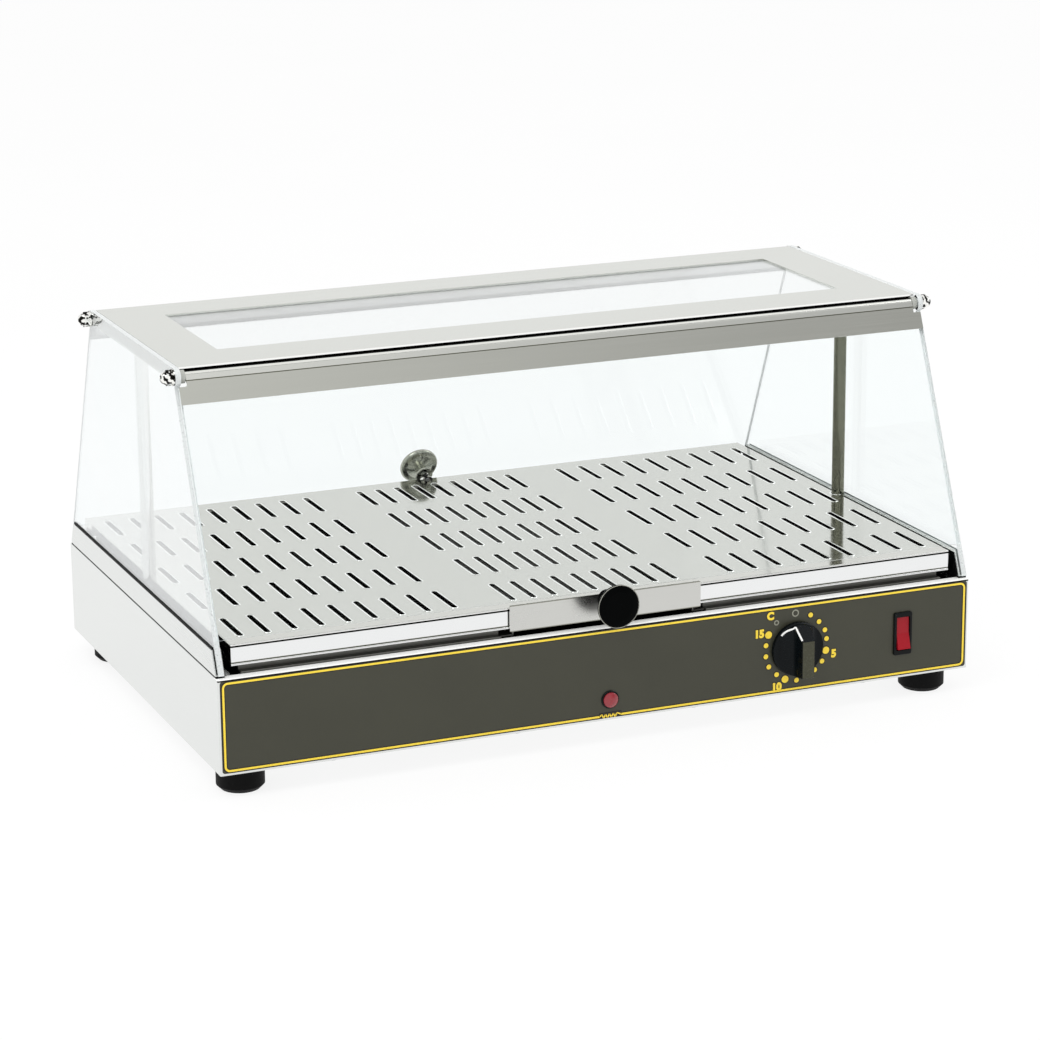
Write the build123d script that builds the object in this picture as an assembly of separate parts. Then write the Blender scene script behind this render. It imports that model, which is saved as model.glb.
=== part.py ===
from build123d import *
from math import atan2, cos, hypot, radians, sin, tan
import os

os.makedirs("parts", exist_ok=True)

# Countertop heated display case, in millimetres: X to the right, Y to the back, Z up.
# The origin is on the table under the centre of the cabinet.

# Cabinet
WIDTH = 590.0
DEPTH = 375.0
BODY_HEIGHT = 70.0
SHEET = 1.2
BEND = 1.0
LIP = 12.0
CASE_HEIGHT = 202.0
FOOT_HEIGHT = 18.0

# Clearances
FIT = 0.05
HINGE_FIT = 0.08
GAP = 0.3
SLIDE_GAP = 0.4

# Front panel
PANEL = 1.5
PANEL_MARGIN = 1.5
PANEL_CORNER = 2.0

# Glass and its channels
GLASS = 4.0
GLASS_LEAN = 23.1
CHANNEL_HEIGHT = 18.5
CHANNEL_WALL = 0.8
CHANNEL_SET_BACK = 3.5
SEAL = 1.4
SEAL_INSET = 0.2
GASKET = 0.5
GASKET_PROUD = 1.5
EDGE_TRIM = 0.4

# Top frame
HINGE_DROP = 6.5
FRAME_FLANGE = 11.0
FRAME_OVERHANG = 0.8
WINDOW_SIDE = 42.0
WINDOW_FRONT = 43.0
WINDOW_REAR = 37.5
WINDOW_GLASS = 3.0
WINDOW_LAP = 12.0
BEAD_LEG = 8.0

# Hinge rods
ROD_R = 3.0
ROD_HOLE_R = 3.25
ROD_ENGAGE = 5.3
WASHER = 1.0
WASHER_R = 6.0
ACORN_FLATS = 10.0
ACORN_HEX = 4.5
ACORN_HEIGHT = 8.5
SPACER_R = 4.8
SPACER = 3.7

# Flaps
TRIM = 0.8
PANE = 3.0
BAND = 20.7
BAND_INSET = 3.5
PANE_TOP = 8.0
PANE_GRIP = 7.0
FRONT_PANE_GAP = 0.9
REAR_PANE_RISE = 14.0

# Deck tray and its slots
TRAY = 1.0
TRAY_RISE = 21.4
TRAY_SKIRT = 15.4
TRAY_SIDE = 12.8
TRAY_FRONT = 8.5
TRAY_REAR = 9.5
TRAY_BEND = 0.9
TRAY_BEAD_R = 0.9
SLOT_LENGTH = 43.5
SLOT_WIDTH = 4.0
SLOT_ROWS = 5
SLOT_MARGIN = 16.75
SLOTS_PER_GROUP = 9
CENTRE_PITCH = 16.0
SIDE_PITCH = 20.0
SIDE_GROUP_INSET = 93.2
SKIRT_SLOT_LENGTH = 38.0
SKIRT_SLOT_WIDTH = 5.0
SKIRT_SLOTS = 6
SKIRT_SLOT_MARGIN = 5.75
RAIL_WIDTH = 14.0
RAIL_FOOT = 6.0
RAIL_SET_BACK = 6.0

# Posts
POST_R = 5.0
POST_INSET = 12.2
POST_STUD_R = 3.0
POST_STUD = 10.0

# Drawer
DRAWER_WIDTH = 150.0
DRAWER_SHEET = 1.2
DRAWER_CORNER = 1.0
DRAWER_FRONT_LOW = 4.4
DRAWER_FRONT_HIGH = 23.7
DRAWER_FACE = 6.0
PAN_SIDE = 5.0
PAN_BACK_GAP = 6.0
PAN_LOW = 4.6
PAN_SHEET = 0.8
RUNNER_SHEET = 1.0
RUNNER_LEDGE = 6.0
RUNNER_FOOT = 10.0

# Round pull knobs
PULL_R = 15.8
PULL_RIM = 5.0
PULL_ROUND = 1.9
PULL_SLOPE = 5.0
PULL_UNDERSIDE = 2.0
PULL_CROWN = 1.0
PULL_NECK_R = 4.5
PULL_FLARE = 4.0
PULL_BASE_R = 7.0
PULL_BASE = 1.5
DRAWER_PULL_REACH = 23.5
DRAWER_PULL_Z = 20.0
REAR_PULL_REACH = 16.5
REAR_PULL_Z = 22.5
PULL_SCREW_R = 2.0
PULL_SCREW_DEPTH = 12.0
PULL_HEAD_R = 3.5
PULL_HEAD = 2.4
PULL_NUT_FLATS = 8.0
PULL_NUT = 4.0

# Thermostat
DIAL_ASIDE = 15.5
DIAL_Z = 34.5
DIAL_REACH = 20.0
DIAL_R = 20.5
DIAL_SKIRT = 4.0
DIAL_GRIP = 10.0
DIAL_GRIP_DRAFT = 0.8
DIAL_FLANK_R = 9.5
DIAL_DRAFT = 2.4
DIAL_TIP = 10.4
DIAL_EDGE = 0.8
DIAL_STAND_OFF = 0.6
DIAL_HOLLOW_R = 17.5
DIAL_HOLLOW = 3.0
DIAL_BOSS_R = 6.0
SHAFT_R = 3.0
SHAFT_SPACE = 1.0
SHAFT_IN_BODY = 10.0
STAT_SIZE = 36.0
STAT_DEPTH = 40.0
STAT_CHAMFER = 3.0
STAT_SCREW_PITCH = 28.0
STAT_SCREW_R = 2.0
STAT_HEAD_R = 3.5
STAT_HEAD = 2.2
CAPILLARY_R = 1.0
CAPILLARY_BEND = 9.0
CAPILLARY_SET_BACK = 38.0
CAPILLARY_ASIDE = 13.5
BULB_R = 3.0
BULB_LENGTH = 90.0
BULB_SET_BACK = 97.5
BULB_LIFT = 8.0

# Rocker switch
SWITCH_SIDE = 56.0
SWITCH_Z = 34.5
BEZEL_WIDTH = 15.0
BEZEL_HEIGHT = 33.0
BEZEL = 2.0
BEZEL_CORNER = 1.5
BEZEL_EDGE = 0.7
SWITCH_BODY_WIDTH = 13.2
SWITCH_BODY_HEIGHT = 29.0
SWITCH_DEPTH = 20.0
ROCKER_WIDTH = 10.3
ROCKER_HALF = 12.2
ROCKER_OUT = 3.5
ROCKER_DISH = 1.5
ROCKER_IN = 4.0
ROCKER_BACK_HALF = 6.7
ROCKER_EDGE = 1.0
ROCKER_TILT = 9.0
ROCKER_PIVOT_DEPTH = 1.0
ROCKER_PIN_R = 1.0
ROCKER_PIN_END = 0.7

# Signal lamp
LAMP_Z = 15.5
LAMP_R = 6.8
LAMP_BEZEL = 1.2
LAMP_CHAMFER = 0.5
LAMP_LENS_R = 5.6
LAMP_LENS_RIM = 1.0
LAMP_LENS_OUT = 3.0
LAMP_BARREL_R = 5.0
LAMP_DEPTH = 24.0

# Heating elements
ELEMENT_R = 3.25
ELEMENT_LIFT = 10.0
ELEMENT_START = 35.0
ELEMENT_INSET = 22.2
ELEMENT_RUNS = 4
ELEMENT_SET_BACK = 52.5
ELEMENT_BEND = 12.0
ELEMENT_TAIL = 24.0
ELEMENT_COLLAR_R = 5.0
ELEMENT_COLLAR = 12.0
ELEMENT_NUT_FLATS = 14.0
ELEMENT_NUT = 4.0
CLIP_WIDTH = 10.0
CLIP_SHEET = 1.2
CLIP_INSET = 45.0
PAD = 14.0
PAD_SIDE = 20.0
PAD_FRONT = 64.0
PAD_REAR = 12.0

# Mains inlet
GLAND_SIDE = 60.0
GLAND_Z = 30.0
GLAND_REACH = 20.0
GLAND_R = 10.5
GLAND_FLATS = 22.0
GLAND_HEX = 6.0
GLAND_DOME = 6.0
GLAND_MOUTH = 2.0
GLAND_THREAD_R = 8.0
GLAND_INSIDE = 12.0
GLAND_BORE_R = 4.2
GLAND_NUT = 4.0
TERMINAL_LENGTH = 48.0
TERMINAL_WIDTH = 22.0
TERMINAL_HEIGHT = 16.0
TERMINAL_WAYS = 4
TERMINAL_WELL_R = 3.0
TERMINAL_CORNER = 2.0
TERMINAL_SET_BACK = 60.0

# Feet and base fasteners
FOOT_R = 17.3
FOOT_TREAD_R = 14.0
FOOT_CHAMFER = 3.3
FOOT_FRONT_SIDES = (21.5, 26.0)
FOOT_REAR_SIDES = (25.0, 25.0)
FOOT_FRONT = 23.0
FOOT_REAR = 32.0
FOOT_RECESS_R = 6.5
FOOT_RECESS = 9.0
FOOT_SCREW_R = 2.5
FOOT_SCREW_TAIL = 1.0
FOOT_HEAD_R = 4.5
FOOT_HEAD = 3.5
FOOT_NUT_FLATS = 8.0
FOOT_NUT = 4.0
BASE_SCREW_R = 2.0
BASE_HEAD_R = 3.8
BASE_HEAD = 2.4
BASE_SCREW_SIDES = (85.0, 225.0)
BASE_SCREW_TAIL = 3.0
VENTS = 7
VENT_LENGTH = 60.0
VENT_WIDTH = 5.0
VENT_PITCH = 14.0
VENT_SIDE = 145.0

# Levels and faces worked out from the sizes above
SIDE_X = WIDTH / 2
FRONT_Y = -DEPTH / 2
REAR_Y = DEPTH / 2
BASE_Z = FOOT_HEIGHT
DECK_Z = BASE_Z + BODY_HEIGHT
TOP_Z = DECK_Z + CASE_HEIGHT
WALL_Y = FRONT_Y + PANEL
TRAY_Z = DECK_Z + TRAY_RISE
TRAY_X = SIDE_X - TRAY_SIDE
TRAY_FRONT_Y = FRONT_Y + TRAY_FRONT
TRAY_REAR_Y = REAR_Y - TRAY_REAR
PLATE_UNDER_Z = TOP_Z - SHEET
LEAN = radians(GLASS_LEAN)

# The element's runs lie between the drawer and the tray's edge, and the bulb between the first two
ELEMENT_RUN_X = DRAWER_WIDTH / 2 + ELEMENT_START
ELEMENT_PITCH = (TRAY_X - ELEMENT_INSET - ELEMENT_RUN_X) / (ELEMENT_RUNS - 1)
ELEMENT_HALF = DEPTH / 2 - ELEMENT_SET_BACK
DIAL_X = ELEMENT_RUN_X + ELEMENT_PITCH / 2 + DIAL_ASIDE
BULB_X = DIAL_X - CAPILLARY_ASIDE
BULB_FRONT_Y = FRONT_Y + BULB_SET_BACK
SWITCH_X = SIDE_X - SWITCH_SIDE
GLAND_X = GLAND_SIDE - SIDE_X

# Side glass: its outer face stands inside the channel's outer leg and gasket
GLASS_OUT_X = SIDE_X - CHANNEL_WALL - GASKET
GLASS_IN_X = GLASS_OUT_X - GLASS
CHANNEL_IN_X = GLASS_IN_X - GASKET - CHANNEL_WALL
FRAME_X = GLASS_IN_X - GAP
POST_X = SIDE_X - POST_INSET

# Hinge: the roll of a flap is wound round the rod, and its pane lies a gap in front of the side glass
ROLL_R = ROD_R + HINGE_FIT + TRIM
PANE_OUT = ROLL_R - TRIM
PANE_IN = PANE_OUT - PANE
EDGE_OUT = PANE_IN - GAP
HINGE_Z = TOP_Z - HINGE_DROP
ROLL_END_X = GLASS_IN_X - SPACER - GAP


def lean_y(z, out=0.0):
    """Front edge of the side glass at height z, moved outwards square to the edge."""
    return FRONT_Y + (z - DECK_Z) * tan(LEAN) - out / cos(LEAN)


HINGE_Y = lean_y(HINGE_Z, -EDGE_OUT)
PLATE_Y = -HINGE_Y - FRAME_OVERHANG

# A flap is drawn in a plane square to the rod: x is outwards from the pane, y is up along it
FLAP_PLANE = Plane(origin=(0, HINGE_Y, HINGE_Z), x_dir=(0, -cos(LEAN), sin(LEAN)), z_dir=(-1, 0, 0))


def block(x, y, z):
    """Box between three pairs of limits."""
    size = Box(x[1] - x[0], y[1] - y[0], z[1] - z[0])
    return Pos((x[0] + x[1]) / 2, (y[0] + y[1]) / 2, (z[0] + z[1]) / 2) * size


def rod_x(radius, x0, x1, y, z):
    """Cylinder along X."""
    return Pos((x0 + x1) / 2, y, z) * Rot(0, 90, 0) * Cylinder(radius, x1 - x0)


def rod_y(radius, y0, y1, x, z):
    """Cylinder along Y."""
    return Pos(x, (y0 + y1) / 2, z) * Rot(90, 0, 0) * Cylinder(radius, y1 - y0)


def rod_z(radius, z0, z1, x, y):
    """Cylinder along Z."""
    return Pos(x, y, (z0 + z1) / 2) * Cylinder(radius, z1 - z0)


def dome_arc(radius, low, height):
    """Arc of a spherical cap, from its rim up to the axis."""
    sphere_r = (radius ** 2 + height ** 2) / (2 * height)
    centre = low + height - sphere_r
    half_angle = atan2(radius, low - centre) / 2
    middle = (sphere_r * sin(half_angle), centre + sphere_r * cos(half_angle))
    return ThreePointArc((radius, low), middle, (0, low + height))


def hex_nut(flats, height, bore_r):
    """Hexagon nut from Z = 0 upwards."""
    outline = RegularPolygon(flats / 2, 6, major_radius=False) - Circle(bore_r)
    return extrude(outline, height)


def side_outline(low, high, set_back):
    """Leaning outline of a side piece, in the YZ plane."""
    front_low = lean_y(low, -set_back * cos(LEAN))
    front_high = lean_y(high, -set_back * cos(LEAN))
    points = [(front_low, low), (front_high, high), (-front_high, high), (-front_low, low)]
    return Plane.YZ * make_face(Polyline(*points, close=True))


def side_slab(x0, x1, outline):
    """Outline in the YZ plane given the thickness from x0 to x1."""
    return Pos(x0, 0, 0) * extrude(outline, x1 - x0)


def left_of(shape):
    """Mirror image of a right-hand piece."""
    return mirror(shape, about=Plane.YZ)


def rear_of(shape):
    """Mirror image of a front piece."""
    return mirror(shape, about=Plane.XZ)


def both_sides(shape):
    """Right-hand piece with its mirror image."""
    return [shape, left_of(shape)]


def foot_places():
    """Centres of the four feet, each set in from the left or right side by its own distance."""
    rows = ((FOOT_FRONT_SIDES, FRONT_Y + FOOT_FRONT), (FOOT_REAR_SIDES, REAR_Y - FOOT_REAR))
    return [(x, y) for (left, right), y in rows for x in (left - SIDE_X, SIDE_X - right)]


def base_screw_places():
    """Centres of the screws that hold the base plate to the lips."""
    y_front = WALL_Y + SHEET + LIP / 2
    y_rear = REAR_Y - SHEET - LIP / 2
    xs = [SIDE_X - inset for inset in BASE_SCREW_SIDES]
    return [(side * x, y) for y in (y_front, y_rear) for x in xs for side in (-1, 1)]


def element_runs():
    """X of each run of the right-hand element."""
    return [ELEMENT_RUN_X + i * ELEMENT_PITCH for i in range(ELEMENT_RUNS)]


def element_ends():
    """Places where the element tubes pass through the cabinet top."""
    xs = (element_runs()[0], element_runs()[-1])
    return [(side * x, -ELEMENT_HALF) for x in xs for side in (-1, 1)]


def cabinet_shell():
    """Folded cabinet: closed top, sides, back and recessed front, with lips at the bottom."""
    shell = Pos(0, 0, BASE_Z + BODY_HEIGHT / 2) * Box(WIDTH, DEPTH, BODY_HEIGHT)
    uprights = shell.edges().filter_by(Axis.Z)
    top_edges = shell.edges().group_by(Axis.Z)[-1]
    shell = fillet(uprights + top_edges, BEND)
    inner_x = (-SIDE_X + SHEET, SIDE_X - SHEET)
    inner_y = (WALL_Y + SHEET, REAR_Y - SHEET)
    shell -= block(inner_x, inner_y, (BASE_Z + 2 * SHEET, DECK_Z - SHEET))
    shell -= block(inner_x, inner_y, (BASE_Z - SHEET, BASE_Z + SHEET))
    lip_x = (inner_x[0] + LIP, inner_x[1] - LIP)
    lip_y = (inner_y[0] + LIP, inner_y[1] - LIP)
    shell -= block(lip_x, lip_y, (BASE_Z, BASE_Z + 3 * SHEET))
    shell -= panel_blank(PANEL_MARGIN, PANEL_CORNER)
    front = (FRONT_Y, WALL_Y + 2 * SHEET)
    for hole in control_holes(*front):
        shell -= hole
    for x, y in base_screw_places():
        shell -= rod_z(BASE_SCREW_R + FIT, BASE_Z, BASE_Z + 3 * SHEET, x, y)
    for x, y in element_ends():
        shell -= rod_z(ELEMENT_COLLAR_R + GAP, DECK_Z - 2 * SHEET, DECK_Z + SHEET, x, y)
    for side in (-1, 1):
        shell -= rod_z(POST_STUD_R + GAP, DECK_Z - 2 * SHEET, DECK_Z + SHEET, side * POST_X, 0)
    shell -= rod_z(2 * CAPILLARY_R, DECK_Z - 2 * SHEET, DECK_Z + SHEET, BULB_X, FRONT_Y + CAPILLARY_SET_BACK)
    shell -= rod_y(GLAND_THREAD_R + FIT, REAR_Y - 2 * SHEET, REAR_Y + SHEET, GLAND_X, BASE_Z + GLAND_Z)
    return shell


def panel_blank(margin, corner):
    """Plate that fills the recess in the cabinet's front."""
    outline = RectangleRounded(WIDTH - 2 * margin, BODY_HEIGHT - 2 * margin, corner)
    face = Plane(origin=(0, WALL_Y, BASE_Z + BODY_HEIGHT / 2), x_dir=(1, 0, 0), z_dir=(0, -1, 0)) * outline
    return extrude(face, PANEL)


def control_holes(y0, y1):
    """Holes for the thermostat, its screws, the switch and the lamp."""
    dial_z = BASE_Z + DIAL_Z
    switch_z = BASE_Z + SWITCH_Z
    holes = [rod_y(SHAFT_R + SHAFT_SPACE, y0, y1, DIAL_X, dial_z)]
    for side in (-1, 1):
        holes.append(rod_y(STAT_SCREW_R + FIT, y0, y1, DIAL_X + side * STAT_SCREW_PITCH / 2, dial_z))
    half_x = SWITCH_BODY_WIDTH / 2 + FIT
    half_z = SWITCH_BODY_HEIGHT / 2 + FIT
    switch = ((SWITCH_X - half_x, SWITCH_X + half_x), (y0, y1), (switch_z - half_z, switch_z + half_z))
    holes.append(block(*switch))
    holes.append(rod_y(LAMP_BARREL_R + FIT, y0, y1, 0, BASE_Z + LAMP_Z))
    return holes


def front_panel():
    """Dark fascia plate, with the controls' holes."""
    panel = panel_blank(PANEL_MARGIN + FIT, PANEL_CORNER)
    for hole in control_holes(FRONT_Y - PANEL, WALL_Y + PANEL):
        panel -= hole
    return panel


def base_plate():
    """Plate that closes the cabinet from below, with vents under the elements."""
    x = SIDE_X - SHEET - FIT
    y = (WALL_Y + SHEET + FIT, REAR_Y - SHEET - FIT)
    plate = block((-x, x), y, (BASE_Z, BASE_Z + SHEET))
    slot = SlotOverall(VENT_LENGTH, VENT_WIDTH, rotation=90)
    vent_x = SIDE_X - VENT_SIDE
    vents = [Pos(side * vent_x, 0) * GridLocations(VENT_PITCH, 1, VENTS, 1) for side in (-1, 1)]
    for group in vents:
        plate -= Pos(0, 0, BASE_Z - SHEET) * extrude(Sketch() + [place * slot for place in group], 3 * SHEET)
    for x, y in foot_places():
        plate -= rod_z(FOOT_SCREW_R + FIT, BASE_Z - SHEET, BASE_Z + 2 * SHEET, x, y)
    for x, y in base_screw_places():
        plate -= rod_z(BASE_SCREW_R + FIT, BASE_Z - SHEET, BASE_Z + 2 * SHEET, x, y)
    return plate


def foot():
    """Rubber foot standing on Z = 0, with a recess for its screw."""
    outline = Polyline(
        (FOOT_SCREW_R + FIT, FOOT_HEIGHT), (FOOT_R, FOOT_HEIGHT), (FOOT_R, FOOT_CHAMFER), (FOOT_TREAD_R, 0),
        (FOOT_RECESS_R, 0), (FOOT_RECESS_R, FOOT_RECESS), (FOOT_SCREW_R + FIT, FOOT_RECESS), close=True)
    return revolve(Plane.XZ * make_face(outline), Axis.Z)


def pan_screw(shank_r, length, head_r, head):
    """Screw with its head's underside at Z = 0 and its shank upwards."""
    top = Pos(0, 0, -head / 2) * Cylinder(head_r, head)
    top = fillet(top.edges().group_by(Axis.Z)[0], head / 3)
    return top + Pos(0, 0, length / 2) * Cylinder(shank_r, length)


def feet():
    return [Pos(x, y, 0) * foot() for x, y in foot_places()]


def foot_screws():
    length = FOOT_HEIGHT - FOOT_RECESS + SHEET + FOOT_NUT + FOOT_SCREW_TAIL
    screw = pan_screw(FOOT_SCREW_R, length, FOOT_HEAD_R, FOOT_HEAD)
    return [Pos(x, y, FOOT_RECESS) * screw for x, y in foot_places()]


def foot_nuts():
    nut = hex_nut(FOOT_NUT_FLATS, FOOT_NUT, FOOT_SCREW_R + FIT)
    return [Pos(x, y, BASE_Z + SHEET) * nut for x, y in foot_places()]


def base_screws():
    screw = pan_screw(BASE_SCREW_R, 2 * SHEET + BASE_SCREW_TAIL, BASE_HEAD_R, BASE_HEAD)
    return [Pos(x, y, BASE_Z) * screw for x, y in base_screw_places()]


def channel():
    """Right-hand channel round the lower edge of the side glass."""
    web_low = DECK_Z + SEAL
    web_high = web_low + CHANNEL_WALL
    high = DECK_Z + CHANNEL_HEIGHT
    leg = side_outline(web_low, high, CHANNEL_SET_BACK)
    web = side_outline(web_low, web_high, CHANNEL_SET_BACK)
    outer = side_slab(SIDE_X - CHANNEL_WALL, SIDE_X, leg)
    inner = side_slab(CHANNEL_IN_X, CHANNEL_IN_X + CHANNEL_WALL, leg)
    return outer + inner + side_slab(CHANNEL_IN_X, SIDE_X, web)


def channel_seals():
    """Black strips between the cabinet top and the channels."""
    outline = side_outline(DECK_Z, DECK_Z + SEAL, CHANNEL_SET_BACK + SEAL_INSET)
    return both_sides(side_slab(CHANNEL_IN_X + SEAL_INSET, SIDE_X - SEAL_INSET, outline))


def edge_trims():
    """Black strips on the inner faces of the channels, between them and the tray."""
    outline = side_outline(DECK_Z + SEAL, DECK_Z + CHANNEL_HEIGHT, CHANNEL_SET_BACK)
    return both_sides(side_slab(CHANNEL_IN_X - EDGE_TRIM, CHANNEL_IN_X, outline))


def glazing_gaskets():
    """Thin rubber on both faces of each side glass, a little proud of the channel."""
    low = DECK_Z + SEAL + CHANNEL_WALL
    outline = side_outline(low, DECK_Z + CHANNEL_HEIGHT + GASKET_PROUD, CHANNEL_SET_BACK)
    outer = side_slab(GLASS_OUT_X, GLASS_OUT_X + GASKET, outline)
    inner = side_slab(GLASS_IN_X - GASKET, GLASS_IN_X, outline)
    return both_sides(outer) + both_sides(inner)


def side_glass():
    """Right-hand pane: leaning ends and a round ear about each hinge rod."""
    low = DECK_Z + SEAL + CHANNEL_WALL
    corner = lean_y(HINGE_Z)
    points = [(lean_y(low), low), (corner, HINGE_Z), (HINGE_Y, TOP_Z)]
    points += [(-y, z) for y, z in reversed(points)]
    outline = make_face(Polyline(*points, close=True))
    for y in (HINGE_Y, -HINGE_Y):
        outline += Pos(y, HINGE_Z) * Circle(HINGE_DROP)
    for y in (HINGE_Y, -HINGE_Y):
        outline -= Pos(y, HINGE_Z) * Circle(ROD_HOLE_R)
    return side_slab(GLASS_IN_X, GLASS_OUT_X, Plane.YZ * outline)


def post():
    """Right-hand round post with a stud through the cabinet top."""
    column = rod_z(POST_R, DECK_Z, PLATE_UNDER_Z, POST_X, 0)
    return column + rod_z(POST_STUD_R, DECK_Z - SHEET - POST_STUD, DECK_Z, POST_X, 0)


def post_nuts():
    nut = hex_nut(ACORN_FLATS, POST_STUD / 2, POST_STUD_R + FIT)
    return both_sides(Pos(POST_X, 0, DECK_Z - SHEET - POST_STUD / 2) * nut)


def top_frame():
    """Folded plate with the window opening and flanges on all four sides."""
    width = 2 * FRAME_X
    plate = Rectangle(width, 2 * PLATE_Y)
    window_x = FRAME_X - WINDOW_SIDE
    window_y = (-PLATE_Y + WINDOW_FRONT, PLATE_Y - WINDOW_REAR)
    opening = Rectangle(2 * window_x, window_y[1] - window_y[0])
    plate -= Pos(0, (window_y[0] + window_y[1]) / 2) * opening
    frame = Pos(0, 0, PLATE_UNDER_Z) * extrude(plate, SHEET)
    flange_y = -HINGE_Y - ROLL_R - SPACER / 2
    ring = Rectangle(width, 2 * flange_y) - Rectangle(width - 2 * SHEET, 2 * (flange_y - SHEET))
    return frame + Pos(0, 0, TOP_Z - FRAME_FLANGE) * extrude(ring, FRAME_FLANGE - SHEET)


def window_limits(lap):
    """Limits of the window opening, widened by a lap."""
    x = FRAME_X - WINDOW_SIDE + lap
    return (-x, x), (-PLATE_Y + WINDOW_FRONT - lap, PLATE_Y - WINDOW_REAR + lap)


def window_glass():
    x, y = window_limits(WINDOW_LAP)
    return block(x, y, (PLATE_UNDER_Z - WINDOW_GLASS, PLATE_UNDER_Z))


def window_beads():
    """Two angle beads that hold the window glass up against the plate."""
    x, y = window_limits(WINDOW_LAP)
    low = PLATE_UNDER_Z - WINDOW_GLASS - SHEET
    outer = y[0] - FIT - SHEET
    corner = (y[0] - FIT, low + SHEET)
    points = [(outer, PLATE_UNDER_Z), (outer, low), (outer + BEAD_LEG, low), (outer + BEAD_LEG, corner[1]),
              corner, (corner[0], PLATE_UNDER_Z)]
    section = Plane.YZ * make_face(Polyline(*points, close=True))
    front = extrude(section, x[1], both=True)
    middle = (y[0] + y[1]) / 2
    return [front, mirror(front, about=Plane.XZ.offset(-middle))]


def hinge_rod():
    reach = GLASS_OUT_X + WASHER + ROD_ENGAGE
    return rod_x(ROD_R, -reach, reach, HINGE_Y, HINGE_Z)


def at_rod_ends(right_piece):
    """Copies of a piece at the four ends of the hinge rods, drawn with its seat at X = 0."""
    placed = []
    for y in (HINGE_Y, -HINGE_Y):
        placed += both_sides(Pos(GLASS_OUT_X, y, HINGE_Z) * right_piece)
    return placed


def rod_washers():
    ring = extrude(Plane.YZ * (Circle(WASHER_R) - Circle(ROD_R + FIT)), WASHER)
    return at_rod_ends(ring)


def acorn_nut():
    """Domed nut along +X with a blind bore."""
    hexagon = extrude(RegularPolygon(ACORN_FLATS / 2, 6, major_radius=False), ACORN_HEX)
    dome_r = ACORN_FLATS / 2 - GAP
    sides = Polyline((0, ACORN_HEIGHT), (0, 0), (dome_r, 0), (dome_r, ACORN_HEX))
    outline = make_face(sides + dome_arc(dome_r, ACORN_HEX, ACORN_HEIGHT - ACORN_HEX))
    nut = hexagon + revolve(Plane.XZ * outline, Axis.Z)
    nut -= Pos(0, 0, (ROD_ENGAGE + GAP) / 2) * Cylinder(ROD_R + FIT, ROD_ENGAGE + GAP)
    return Rot(0, 90, 0) * nut


def rod_nuts():
    return at_rod_ends(Pos(WASHER, 0, 0) * acorn_nut())


def hinge_spacers():
    ring = extrude(Plane.YZ * (Circle(SPACER_R) - Circle(ROD_R + FIT)), SPACER)
    return at_rod_ends(Pos(-GLASS - SPACER, 0, 0) * ring)


def flap_slab(section, half_length):
    """Section in the flap's plane given a length that is centred across the case."""
    return extrude(FLAP_PLANE * section, half_length, both=True)


def flap_profile():
    """Rolled edge, band and grip of the front flap; the band's ends pass in front of the side glass."""
    band_x = SIDE_X - BAND_INSET
    full = [(PANE_OUT, -PANE_TOP), (ROLL_R, -PANE_TOP), (ROLL_R, -BAND), (PANE_OUT, -BAND)]
    upper = [(PANE_OUT, 0), (ROLL_R, 0), (ROLL_R, -PANE_TOP), (PANE_OUT, -PANE_TOP)]
    grip_low = -PANE_TOP - PANE_GRIP
    grip_high = -PANE_TOP + TRIM
    grip_in = PANE_IN - TRIM
    grip = [(grip_in, grip_low), (PANE_IN, grip_low), (PANE_IN, -PANE_TOP), (PANE_OUT, -PANE_TOP),
            (PANE_OUT, grip_high), (grip_in, grip_high)]
    roll = Circle(ROLL_R) - Circle(ROD_R + HINGE_FIT)
    top = make_face(Polyline(*upper, close=True)) - Circle(ROD_R + HINGE_FIT)
    profile = flap_slab(make_face(Polyline(*full, close=True)), band_x)
    profile += flap_slab(roll + top, ROLL_END_X)
    profile += flap_slab(make_face(Polyline(*grip, close=True)), ROLL_END_X)
    return profile


def flap_pane(bottom_z):
    """Clear pane of the front flap down to a height, with ground edges."""
    low = (bottom_z - HINGE_Z) / cos(LEAN)
    section = [(PANE_IN, -PANE_TOP), (PANE_OUT, -PANE_TOP), (PANE_OUT, low), (PANE_IN, low)]
    return flap_slab(make_face(Polyline(*section, close=True)), SIDE_X - BAND_INSET)


def front_flap_glass():
    return flap_pane(DECK_Z + DRAWER_FRONT_HIGH + FRONT_PANE_GAP)


def rear_pull_height():
    """Distance from the rod down along the pane to the rear knob's axis."""
    return (DECK_Z + REAR_PULL_Z - HINGE_Z) / cos(LEAN)


def rear_flap_glass():
    pane = flap_pane(DECK_Z + REAR_PANE_RISE)
    hole = on_pane(PANE_IN - GAP, Pos(0, 0, PANE) * Cylinder(PULL_SCREW_R + GAP, 4 * PANE))
    return rear_of(pane - hole)


def on_pane(out, shape):
    """Shape drawn along +Z, set square to the front flap's pane at the knob's place."""
    seat = Plane(origin=FLAP_PLANE.from_local_coords(Vector(out, rear_pull_height(), 0)),
                 x_dir=(1, 0, 0), z_dir=FLAP_PLANE.x_dir)
    return seat * shape


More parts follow.
